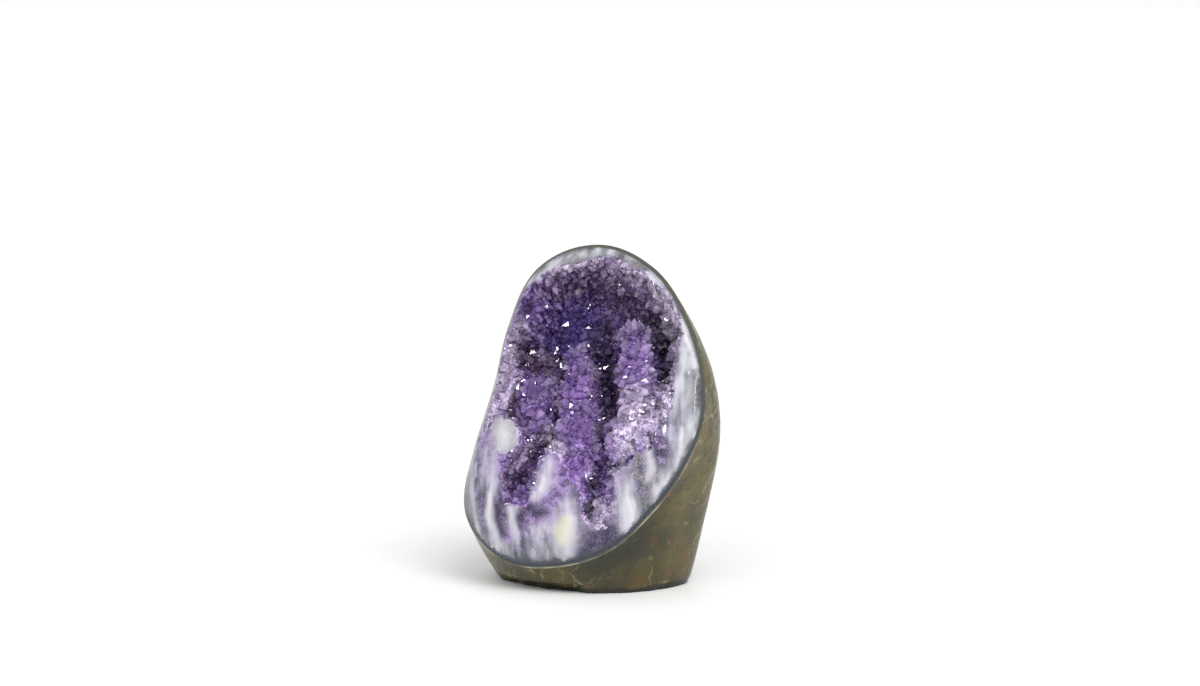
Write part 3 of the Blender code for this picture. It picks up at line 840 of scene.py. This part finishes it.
def agate_material():
    """Agate and massive quartz, ground and polished to a high gloss: milky upright streaks in blue-grey,
    tinted and speckled violet where amethyst lies just under the polish."""
    made, tree = new_material("polished_agate")
    place = add(tree, "ShaderNodeTexCoord").outputs["Object"]
    kept = kept_values(tree, (*AGATE_PAINTS, "milky", "tint", "inwards"))
    height = add(tree, "ShaderNodeSeparateXYZ", {0: place}).outputs["Z"]

    # streaks that stand upright, about 4.5 times as tall as wide, with mottles and a fine speckle over
    # them: where they are read, seed, size, detail, roughness
    upright = add(tree, "ShaderNodeMapping", {"Vector": place, "Scale": (1.0, 0.5, 0.22)})
    patterns = {}
    for name, where, seed, size, detail, roughness in (
        ("wide", upright, 2.0, 4.2, 2.0, 0.4), ("thin", upright, 7.0, 1.5, 2.0, 0.5),
        ("mottle", place, 3.0, 3.4, 4.0, 0.55), ("fine", place, 4.0, 0.8, 3.0, 0.7),
    ):
        values = {"Vector": where, "W": seed, "Scale": sized(size), "Detail": detail, "Roughness": roughness}
        patterns[name] = add(tree, "ShaderNodeTexNoise", values, noise_dimensions="4D")
    mottle, fine = patterns["mottle"], patterns["fine"]
    streak = add(tree, "ShaderNodeMath", {0: patterns["thin"], 1: 0.35, 2: -0.175}, operation="MULTIPLY_ADD")
    streak = add(tree, "ShaderNodeMath", {0: patterns["wide"], 1: streak}, operation="ADD")
    body = add(
        tree, "ShaderNodeValToRGB", {"Fac": streak},
        stops=((0.36, "#4b5056"), (0.46, "#70747a"), (0.54, "#8c8f94"), (0.66, "#bcbec3")),
    )
    cloudy = add(tree, "ShaderNodeValToRGB", {"Fac": mottle}, stops=((0.35, 0.25), (0.65, 0.72)))
    body = add(
        tree, "ShaderNodeMix", {"Factor_Float": 0.5, "A_Color": body, "B_Color": cloudy},
        data_type="RGBA", blend_type="SOFT_LIGHT",
    )

    # crystals under the polish: ragged cells, each a little lighter or darker
    shaken = add(tree, "ShaderNodeTexNoise", {"Vector": place, "Scale": sized(1.5)}).outputs["Color"]
    shake = (1.2 * METRE,) * 3
    shaken = add(tree, "ShaderNodeVectorMath", {0: shaken, 1: shake, 2: place}, operation="MULTIPLY_ADD")
    cells = add(tree, "ShaderNodeTexVoronoi", {"Vector": shaken, "Scale": sized(2.1)}).outputs["Color"]
    own = add(tree, "ShaderNodeSeparateColor", {0: cells})
    own = add(tree, "ShaderNodeMath", {0: own, 1: 0.3}, operation="MULTIPLY")
    own = add(tree, "ShaderNodeMath", {0: fine, 1: 0.9, 2: own}, operation="MULTIPLY_ADD")
    violet = add(
        tree, "ShaderNodeValToRGB", {"Fac": own},
        stops=((0.4, "#1e1434"), (0.51, "#3a2853"), (0.62, "#5f4a78"), (0.76, "#9080a5")),
    )
    near = add(tree, "ShaderNodeMath", {0: kept["violet"], 1: kept["tint"]}, operation="MAXIMUM")
    smoke = add(tree, "ShaderNodeValToRGB", {"Fac": fine}, stops=((0.38, "#4d494e"), (0.62, "#8d888d")))

    # the outermost band is dark, widest at the foot and weaker higher up
    wider = {"Value": height, "From Min": 8 * METRE, "From Max": 22 * METRE, "To Min": 0.9 * METRE}
    wider = add(tree, "ShaderNodeMapRange", {**wider, "To Max": 0.0})
    band = {0: mottle, 1: -5 * METRE, 2: kept["inwards"]}
    band = add(tree, "ShaderNodeMath", band, operation="MULTIPLY_ADD")
    band = add(tree, "ShaderNodeMath", {0: band, 1: wider}, operation="SUBTRACT")
    layers = (
        (violet, near, (mottle, 0.34, 0.5, 0.7, 1.0)),
        ("#9b82b6", kept["lilac"], (own, 0.45, 0.66, 0.25, 0.85)),
        ("#1f1736", kept["dusky"], (fine, 0.38, 0.6, 1.0, 0.7)),
        (smoke, kept["smoky"], (mottle, 0.38, 0.56, 0.1, 0.85)),
        ("#b9b8c2", kept["milky"], (streak, 0.38, 0.6, 0.3, 1.0)),
        # white stone, with highlight lines painted on the right column's foot and the right rim
        ("#cecbcf", kept["white"], (mottle, 0.35, 0.6, 0.7, 1.0)),
        ("#c9c8a2", (kept["yellowish"], 0.0, 1.0, 0.0, 0.6)),
        (
            "#33383e", (band, -2.2 * METRE, -1.3 * METRE, 0.9, 0.0),
            (height, 40 * METRE, 90 * METRE, 1.0, 0.25),
        ),
    )
    body = laid_over(tree, body, layers)

    gloss = {"Value": mottle, "From Min": 0.3, "From Max": 0.7, "To Min": 0.05, "To Max": 0.16}
    gloss = add(tree, "ShaderNodeMapRange", gloss)
    shader = add(
        tree, "ShaderNodeBsdfPrincipled",
        {
            "Base Color": body, "Roughness": gloss, "IOR": QUARTZ_IOR, "Specular IOR Level": 0.35,
            "Coat Weight": 0.25, "Coat Roughness": 0.04,
        },
    )
    add(tree, "ShaderNodeOutputMaterial", {"Surface": shader})
    return made


def amethyst_colour(tree):
    """The zoned colour of amethyst, from the zones kept on the mesh, with a highlight painted on the crests
    and shade painted in the creases.
    """
    place = add(tree, "ShaderNodeTexCoord").outputs["Object"]
    kept = kept_values(tree, ZONE_COLOURS)
    speckle = {"Vector": place, "W": 5.0, "Scale": sized(3), "Detail": 4.0, "Roughness": 0.65}
    speckle = add(tree, "ShaderNodeTexNoise", speckle, noise_dimensions="4D")
    stops = ((0.36, "#3d2768"), (0.5, "#6f4d96"), (0.62, "#a283bd"))
    body = add(tree, "ShaderNodeValToRGB", {"Fac": speckle}, stops=stops)
    layers = [
        (colour, kept[name], (speckle, 0.36, 0.56, most * 0.4, most))
        for name, (colour, most) in ZONE_COLOURS.items()
    ]
    return laid_over(tree, body, layers)


def druse_material():
    """The fine druse that the points grow from: sugary violet quartz."""
    made, tree = new_material("amethyst_druse")
    body = add(tree, "ShaderNodeVectorMath", {0: amethyst_colour(tree), "Scale": 1.08}, operation="SCALE")
    shader = {"Base Color": body, "Roughness": 0.35, "IOR": QUARTZ_IOR}
    shader = add(tree, "ShaderNodeBsdfPrincipled", shader)
    add(tree, "ShaderNodeOutputMaterial", {"Surface": shader})
    return made


def painted_edge_highlight_mask(tree, width):
    """Mask of the highlights painted on the crystals' edges: 1 on the edges of their end faces, from the
    corner numbers kept on them.
    """
    corner = add(tree, "ShaderNodeAttribute", attribute_name="facet").outputs["Vector"]
    corner = add(tree, "ShaderNodeSeparateXYZ", {0: corner}).outputs
    third = add(tree, "ShaderNodeMath", {0: 1.0, 1: corner["X"]}, operation="SUBTRACT")
    third = add(tree, "ShaderNodeMath", {0: third, 1: corner["Y"]}, operation="SUBTRACT")
    least = add(tree, "ShaderNodeMath", {0: corner["X"], 1: corner["Y"]}, operation="MINIMUM")
    least = add(tree, "ShaderNodeMath", {0: least, 1: third}, operation="MINIMUM")
    return add(tree, "ShaderNodeMapRange", {"Value": least, "From Max": width, "To Min": 1.0, "To Max": 0.0})


def crystal_material():
    """Amethyst points: clear violet quartz with natural glassy faces, each a little paler or deeper, with
    pale lines painted on their edges as highlights and shade painted towards their roots. What they let
    through is tinted by absorption in their depth."""
    made, tree = new_material("amethyst_points")
    kept = kept_values(tree, ("glint", "tip", "smoke", "indigo", "umber"))
    own = add(tree, "ShaderNodeMapRange", {"Value": kept["glint"], "To Min": 0.7, "To Max": 1.6})
    # painted shade: each point darker towards its root and lighter towards its tip
    tip = add(tree, "ShaderNodeMapRange", {"Value": kept["tip"], "To Min": 0.8, "To Max": 1.2})
    light = add(tree, "ShaderNodeMath", {0: own, 1: tip}, operation="MULTIPLY")
    body = add(tree, "ShaderNodeVectorMath", {0: amethyst_colour(tree), "Scale": light}, operation="SCALE")

    # painted highlights: pale lines on the edges, fainter where the zones are dark
    dark = kept["smoke"]
    for name in ("indigo", "umber"):
        dark = add(tree, "ShaderNodeMath", {0: dark, 1: kept[name]}, operation="MAXIMUM")
    clear = add(tree, "ShaderNodeMath", {0: dark, 1: -0.75, 2: 1.0}, operation="MULTIPLY_ADD")
    painted_edge_highlight = ("#d8cbe4", painted_edge_highlight_mask(tree, 0.1), (kept["glint"], 0.2, 0.9, 0.1, 0.55), clear)
    body = laid_over(tree, body, [painted_edge_highlight])
    shader = {"Base Color": body, "Roughness": 0.06, "IOR": QUARTZ_IOR, "Transmission Weight": 0.5}
    shader = add(tree, "ShaderNodeBsdfPrincipled", shader)
    depth = add(tree, "ShaderNodeVolumeAbsorption", {"Color": "#c9aee6", "Density": 150.0})
    add(tree, "ShaderNodeOutputMaterial", {"Surface": shader, "Volume": depth})
    return made


# The pieces

def make_rind():
    """The basalt rind, with shallow waves and pits in its ground flats, and its sawn base."""
    skin = RingMesh()
    skin.tip(back_point(rind_thickness(1.0)))
    for row in range(INSIDE_ROWS - 1, 0, -1):
        share = row / INSIDE_ROWS
        skin.ring(shell_ring(share, rind_thickness(share)))
    for inset in np.linspace(RIND_AT_RIM, 0.0, EDGE_ROWS):
        skin.ring(shell_ring(0, inset))
    for share in (np.arange(1, RIND_ROWS) / RIND_ROWS) ** ROWS_CROWD_AT_RIM:
        skin.ring(shell_ring(share, 0.0))
    skin.tip(back_point(0.0))
    mesh = skin.mesh("basalt_rind_dressed")

    places = vertex_places(mesh)
    inner = 1 + AROUND * (INSIDE_ROWS - 1)
    outer = inner + AROUND * EDGE_ROWS
    rim = places[outer - AROUND:outer]
    outside = np.arange(outer, len(places))
    from_rim = np.full(len(places), -RIND_AT_RIM)
    from_rim[inner:outer] = np.repeat(np.linspace(-RIND_AT_RIM, 0, EDGE_ROWS), AROUND)
    from_rim[outside] = np.linalg.norm(places[outside] - rim[(outside - outer) % AROUND], axis=1)
    store(mesh, "from_rim", from_rim * METRE)

    spots, height = places[outside], places[outside][:, 2]
    ways = spots - STONE_CENTRE
    ways /= np.linalg.norm(ways, axis=1)[:, None]
    turn = np.degrees(np.arctan2(ways[:, 0], -ways[:, 1]))
    wave = sum(tall * all_round_noise(spots, ways, size, SEED + seed) for size, tall, seed in WAVES)
    pits = PIT_DEPTH * np.clip(all_round_noise(spots, ways, PIT_SIZE, SEED + 7) - 0.5, 0, 1)
    chips = CHIP_DEPTH * np.clip(all_round_noise(spots, ways, CHIP_SIZE, SEED + 8) + 0.35, 0, 1)
    chips *= smooth_step((CHIP_TOP - height) / CHIP_TOP)
    wander, uneven = UNDERCUT_WANDER
    under = UNDERCUT_DEPTH * (0.9 + uneven * soft_noise(turn, height * 0, wander, SEED + 9))
    for past_end in (turn - UNDERCUT[0], UNDERCUT[1] - turn):
        under *= smooth_step(past_end / UNDERCUT_ENDS)
    under *= smooth_step((UNDERCUT_TOP - height) / UNDERCUT_ROUNDING)
    sunk = (SKIN_SINK - wave + pits) * smooth_step(from_rim[outside] / WAVES_FULL_AT) + chips + under
    places[outside] -= ways * sunk[:, None]
    set_places(mesh, places)

    bm = bmesh.new()
    bm.from_mesh(mesh)
    cut = bmesh.ops.bisect_plane(
        bm, geom=bm.verts[:] + bm.edges[:] + bm.faces[:], dist=1e-7,
        plane_co=(0, 0, 0), plane_no=(0, 0, 1), clear_inner=True,
    )
    foot = [e for e in cut["geom_cut"] if isinstance(e, bmesh.types.BMEdge)]
    bmesh.ops.edgeloop_fill(bm, edges=foot)
    bmesh.ops.recalc_face_normals(bm, faces=bm.faces[:])
    bm.to_mesh(mesh)
    bm.free()
    mesh.shade_smooth()
    mesh.set_sharp_from_angle(angle=math.radians(RIND_SHARP_FROM))
    mesh.materials.append(basalt_material())
    return add_object("basalt_rind_dressed", mesh)


def make_lining():
    """The agate, polished in front, with the hollow and its columns lined with druse."""
    skin = RingMesh()
    rim_across, rim_up = rim_plan(RIND_AT_RIM + JOINT_GAP)
    middle = np.zeros(1)
    skin.tip(face_points(middle, middle, maps.read(maps.depth, middle, middle))[0])
    plans = [(rim_across * share, rim_up * share) for share in np.arange(1, FACE_RINGS + 1) / FACE_RINGS]
    for across, up in plans:
        depth = maps.read(maps.depth, across, up)
        depth = depth + np.where(depth > 0, 0, flute_depth(across, up))
        skin.ring(face_points(across, up, depth))
    for row in range(1, INSIDE_ROWS):
        share = row / INSIDE_ROWS
        skin.ring(shell_ring(share, rind_thickness(share) + HIDDEN_GAP))
    skin.tip(back_point(rind_thickness(1.0) + HIDDEN_GAP))
    mesh = skin.mesh("agate_lining_dressed")
    turn_outwards(mesh)

    across, up, _ = on_face(vertex_places(mesh))
    hollow = maps.read(maps.depth, across, up)
    inwards = radius_at(RIM_RADII, np.arctan2(up, across)) - RIND_AT_RIM - np.hypot(across, up)
    store(mesh, "inwards", inwards * METRE)
    for name, (strokes, softness) in AGATE_PAINTS.items():
        store(mesh, name, painted(strokes, across, up, softness))
    store(mesh, "tint", smooth_step(TINT_GAIN * maps.read(maps.tint, across, up)))
    store_zones(mesh, across, up)

    mesh.materials.append(agate_material())
    mesh.materials.append(druse_material())
    front = 1 + AROUND * FACE_RINGS
    for face in mesh.polygons:
        corners = list(face.vertices)
        if max(corners) < front and min(hollow[corners]) > 0:
            face.material_index = 1
    mesh.shade_smooth()
    mesh.set_sharp_from_angle(angle=math.radians(LINING_SHARP_FROM))
    return add_object("agate_lining_dressed", mesh)


def store_zones(mesh, across, up):
    """Keeps the crystals' colour zones on a mesh, with the masks of the highlight painted on the crests and
    the shade painted in the creases.
    """
    depth = maps.read(maps.depth, across, up)
    shown = across + SIDE_VIEW[0] * depth, up + SIDE_VIEW[1] * depth
    for name, strokes in ZONES.items():
        store(mesh, name, painted(strokes, *shown, ZONE_SOFTNESS))
    relief = maps.read(maps.relief, across, up)
    store(mesh, "milky", painted(MILKY, *shown, MILKY_SOFTNESS))
    # masks of the highlight painted on the crests and the shade painted in the creases
    store(mesh, "crest", smooth_step(relief / CREST_HEIGHT))
    store(mesh, "cleft", smooth_step(-relief / CREST_HEIGHT))


def crystal_form(name, seed):
    """One point of quartz: six sides under a six-faced tip, with a zigzag shoulder and its apex a little
    off centre. Its sizes are shares of its width."""
    rng = random.Random(seed)
    bm = bmesh.new()
    sides = range(6)
    turn = [math.radians(60 * i) for i in sides]
    width = [0.5 * rng.uniform(0.85, 1.1) for _ in sides]
    shoulder = [rng.uniform(0.2, 0.34) + (0.2 if i % 2 else 0) for i in sides]
    root = [bm.verts.new((w * math.cos(t), w * math.sin(t), -0.5)) for w, t in zip(width, turn)]
    neck = [bm.verts.new((w * math.cos(t), w * math.sin(t), h)) for w, t, h in zip(width, turn, shoulder)]
    apex = bm.verts.new((rng.uniform(-0.12, 0.12), rng.uniform(-0.12, 0.12), rng.uniform(0.75, 1.1)))
    facet = bm.loops.layers.uv.new("facet")
    for i in sides:
        j = (i + 1) % 6
        side = bm.faces.new((root[i], root[j], neck[j], neck[i]))
        for loop in side.loops:
            loop[facet].uv = (0.33, 0.33)
        face = bm.faces.new((neck[i], neck[j], apex))
        for loop, corner in zip(face.loops, ((1, 0), (0, 1), (0, 0))):
            loop[facet].uv = corner
    bm.faces.new(root[::-1])
    mesh = bpy.data.meshes.new(name)
    bm.to_mesh(mesh)
    bm.free()
    # how high up the point each vertex is, for the shade painted towards the roots
    store(mesh, "tip", [0.0] * 6 + [0.45] * 6 + [1.0])
    return bpy.data.objects.new(name, mesh)


def growth_tree(forms, material):
    """Crystal points growing all over a surface, upright on it apart from a random tilt."""
    tree = bpy.data.node_groups.new("crystal_growth", "GeometryNodeTree")
    tree.interface.new_socket("Geometry", in_out="INPUT", socket_type="NodeSocketGeometry")
    for name in ("Spacing", "Width", "Tilt"):
        tree.interface.new_socket(name, in_out="INPUT", socket_type="NodeSocketFloat")
    tree.interface.new_socket("Seed", in_out="INPUT", socket_type="NodeSocketInt")
    tree.interface.new_socket("Geometry", in_out="OUTPUT", socket_type="NodeSocketGeometry")
    given = add(tree, "NodeGroupInput").outputs
    crowd = add(tree, "ShaderNodeMath", {0: TRIES_FOR_A_SPOT, 1: given["Spacing"]}, operation="DIVIDE")
    crowd = add(tree, "ShaderNodeMath", {0: crowd, 1: given["Spacing"]}, operation="DIVIDE")
    spots = add(
        tree, "GeometryNodeDistributePointsOnFaces",
        {
            "Mesh": given["Geometry"], "Distance Min": given["Spacing"], "Density Max": crowd,
            "Seed": given["Seed"],
        },
        distribute_method="POISSON",
    )
    back = add(tree, "ShaderNodeMath", {0: given["Tilt"], 1: -1.0}, operation="MULTIPLY")
    low = add(tree, "ShaderNodeCombineXYZ", {"X": back, "Y": back, "Z": 0.0})
    high = add(tree, "ShaderNodeCombineXYZ", {"X": given["Tilt"], "Y": given["Tilt"], "Z": math.pi})
    lean = {"Min": low, "Max": high, "Seed": given["Seed"]}
    lean = add(tree, "FunctionNodeRandomValue", lean, data_type="FLOAT_VECTOR")
    lean = add(tree, "FunctionNodeEulerToRotation", {"Euler": lean})
    stand = {"Rotation": spots.outputs["Rotation"], "Rotate By": lean}
    stand = add(tree, "FunctionNodeRotateRotation", stand, rotation_space="LOCAL")
    luck = {"Min_001": LEAST_LUCK, "Max_001": MOST_LUCK, "Seed": 3}
    size = add(tree, "FunctionNodeRandomValue", luck, data_type="FLOAT")
    room = add(tree, "GeometryNodeInputNamedAttribute", {"Name": "room"}, data_type="FLOAT")
    for part in (room.outputs["Attribute"], given["Width"]):
        size = add(tree, "ShaderNodeMath", {0: size, 1: part}, operation="MULTIPLY")
    pick = {"Min_002": 0, "Max_002": len(forms.objects) - 1, "Seed": 5}
    pick = add(tree, "FunctionNodeRandomValue", pick, data_type="INT")
    source = {"Collection": forms, "Separate Children": True, "Reset Children": True}
    source = add(tree, "GeometryNodeCollectionInfo", source)
    grown = add(
        tree, "GeometryNodeInstanceOnPoints",
        {
            "Points": spots.outputs["Points"], "Instance": source, "Pick Instance": True,
            "Instance Index": pick, "Rotation": stand, "Scale": size,
        },
    )
    root = add(tree, "GeometryNodeInputPosition")
    glint = {"Min_001": 0.0, "Max_001": 1.0, "Seed": 9}
    glint = add(tree, "FunctionNodeRandomValue", glint, data_type="FLOAT")
    for name, value, kind in (("root", root, "FLOAT_VECTOR"), ("glint", glint, "FLOAT")):
        kept = {"Geometry": grown, "Name": name, "Value": value}
        grown = add(tree, "GeometryNodeStoreNamedAttribute", kept, data_type=kind, domain="INSTANCE")
    solid = add(tree, "GeometryNodeRealizeInstances", {0: grown})
    dressed = add(tree, "GeometryNodeSetMaterial", {0: solid, "Material": material})
    add(tree, "NodeGroupOutput", {0: dressed})
    return tree


def crystal_bed(lining):
    """The druse faces of the lining as an open mesh of their own, with the room that crystals have."""
    bm = bmesh.new()
    bm.from_mesh(lining.data)
    bmesh.ops.delete(bm, geom=[f for f in bm.faces if f.material_index != 1], context="FACES")
    mesh = bpy.data.meshes.new("crystal_bed")
    bm.to_mesh(mesh)
    bm.free()
    depth = on_face(vertex_places(mesh))[2]
    store(mesh, "room", LEAST_ROOM + (1 - LEAST_ROOM) * smooth_step(depth / FULL_ROOM_DEPTH))
    return mesh


def grow_crystals(name, bed, forms, material, sizes, seed):
    """Grows one population of points on the bed, and grinds them flush with the polished face."""
    spacing, width, tilt = sizes
    holder = add_object(name, bed)
    tree = growth_tree(forms, material)
    modifier = holder.modifiers.new("growth", "NODES")
    modifier.node_group = tree
    values = {"Spacing": spacing * METRE, "Width": width * METRE, "Tilt": math.radians(tilt), "Seed": seed}
    for socket in tree.interface.items_tree:
        if socket.in_out == "INPUT" and socket.name in values:
            modifier[socket.identifier] = values[socket.name]
    graph = bpy.context.evaluated_depsgraph_get()
    mesh = bpy.data.meshes.new_from_object(holder.evaluated_get(graph), depsgraph=graph)
    bpy.data.objects.remove(holder)
    mesh.name = name

    places = vertex_places(mesh)
    proud = np.maximum(UNDER_POLISH - on_face(places)[2], 0)
    set_places(mesh, places - np.multiply.outer(proud, FACE_NORMAL))
    roots = np.empty(len(mesh.vertices) * 3)
    mesh.attributes["root"].data.foreach_get("vector", roots)
    across, up, _ = on_face(roots.reshape(-1, 3) / METRE)
    store_zones(mesh, across, up)
    mesh.attributes.remove(mesh.attributes["root"])
    return add_object(name, mesh)


def make_crystals(lining):
    """The amethyst points, a piece for each of their sizes."""
    forms = bpy.data.collections.new("crystal_forms")
    for i in range(CRYSTAL_FORMS):
        forms.objects.link(crystal_form(f"crystal_form_{i}", SEED + i))
    material = crystal_material()
    bed = crystal_bed(lining)
    made = [
        grow_crystals("amethyst_points_" + name, bed, forms, material, sizes, SEED + i)
        for i, (name, sizes) in enumerate(POINT_SIZES.items())
    ]
    for form in list(forms.objects):
        bpy.data.objects.remove(form)
    bpy.data.collections.remove(forms)
    return made


# The stage, the light and the camera

TABLE_SIZE = 60.0
TABLE_DROP = 0.0001
LIT_SPOT = (0, 0, 0.06)
TENT_LIGHT = 0.64
TENT_SEEN = 0.98

# Turn, tilt and spread in degrees and strength of the suns, turn and tilt of the small lamps for the
# glints, and turn, tilt, width, height and power of the strips. Their sizes and distances are metres.
SUNS = {"window": (55, 50, 35, 1.45), "front_window": (8, 25, 70, 1.25)}
LAMPS = ((-30, 35), (-50, 45), (-10, 50), (15, 62), (0, 20), (10, 34), (25, 35), (-20, 68), (45, 60), (28, 8))
LAMP_WIDTH = 0.12
LAMP_POWER = 1.1
LAMPS_AWAY = 1.0
STRIPS = {"right_strip": (95, 15, 0.05, 0.7, 1.0), "thin_strip": (62, 25, 0.015, 0.5, 0.35)}
STRIPS_AWAY = 0.9

# The camera, in millimetres and degrees: where it stands round the stone, and how far its aim is moved
CAMERA_TURN = 25.3
CAMERA_TILT = 8.6
CAMERA_DISTANCE = 990.0
LOOKED_AT = np.array((-4.3, -9.75, 60.0))
AIM_RIGHT = 6.0
AIM_UP = 25.5
LENS = 85
SENSOR_WIDTH = 36


def make_stage():
    """A white lit table, wide enough to run out of the picture."""
    bpy.ops.mesh.primitive_plane_add(size=TABLE_SIZE, location=(0, 0, -TABLE_DROP))
    floor = bpy.context.object
    floor.name = "white_table"
    made, tree = new_material("white_table")
    shader = add(tree, "ShaderNodeBsdfPrincipled", {"Base Color": "#fbfbfb", "Roughness": 0.6})
    add(tree, "ShaderNodeOutputMaterial", {"Surface": shader})
    floor.data.materials.append(made)


def place_light(light, turn, tilt, distance):
    """Puts a light this far from the stone, turned to it."""
    made = bpy.data.objects.new(light.name, light)
    bpy.context.scene.collection.objects.link(made)
    way = Vector(direction(turn, tilt))
    made.location = Vector(LIT_SPOT) + way * distance
    made.rotation_euler = (-way).to_track_quat("-Z", "Y").to_euler()
    return made


def add_sun(name, turn, tilt, spread, power):
    """A soft light that shows in no reflection."""
    light = bpy.data.lights.new(name, "SUN")
    light.angle = math.radians(spread)
    light.energy = power
    place_light(light, turn, tilt, 1.0).visible_glossy = False


def add_lamp(name, turn, tilt, distance, width, height, power):
    light = bpy.data.lights.new(name, "AREA")
    light.shape = "ELLIPSE"
    light.size = width
    light.size_y = height
    light.energy = power
    return place_light(light, turn, tilt, distance)


def make_light():
    """A white tent, two soft suns for its windows, small lamps for the glints and strips for the gloss."""
    world = bpy.data.worlds.new("white_tent")
    world.use_nodes = True
    tree = world.node_tree
    tree.nodes.clear()
    seen = add(tree, "ShaderNodeLightPath").outputs["Is Camera Ray"]
    strength = add(tree, "ShaderNodeMapRange", {"Value": seen, "To Min": TENT_LIGHT, "To Max": TENT_SEEN})
    white = add(tree, "ShaderNodeBackground", {"Color": "#ffffff", "Strength": strength})
    add(tree, "ShaderNodeOutputWorld", {"Surface": white})
    bpy.context.scene.world = world
    for name, sun in SUNS.items():
        add_sun(name, *sun)
    for i, (turn, tilt) in enumerate(LAMPS):
        lamp = add_lamp(f"lamp_{i}", turn, tilt, LAMPS_AWAY, LAMP_WIDTH, LAMP_WIDTH, LAMP_POWER)
        lamp.visible_diffuse = False
    for name, (turn, tilt, *size, power) in STRIPS.items():
        add_lamp(name, turn, tilt, STRIPS_AWAY, *size, power)
    bpy.context.scene.view_settings.view_transform = "Standard"


def make_camera():
    """The photograph's camera."""
    data = bpy.data.cameras.new("camera")
    data.lens = LENS
    data.sensor_width = SENSOR_WIDTH
    data.clip_start = 0.05
    back = direction(CAMERA_TURN, CAMERA_TILT)
    right = np.array((math.cos(math.radians(CAMERA_TURN)), math.sin(math.radians(CAMERA_TURN)), 0))
    up = np.cross(back, right)
    spot = Vector((LOOKED_AT + back * CAMERA_DISTANCE) * METRE)
    aim = Vector((LOOKED_AT + right * AIM_RIGHT + up * AIM_UP) * METRE)
    camera = bpy.data.objects.new("camera", data)
    camera.location = spot
    camera.rotation_euler = (aim - spot).to_track_quat("-Z", "Y").to_euler()
    bpy.context.scene.collection.objects.link(camera)
    bpy.context.scene.camera = camera


make_stage()
make_light()
make_camera()

rind = make_rind()
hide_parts("basalt_rind")

lining = make_lining()
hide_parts("agate_lining")

points = make_crystals(lining)
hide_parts("amethyst_crystals")

for piece in (rind, lining, *points):
    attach(piece, "root")
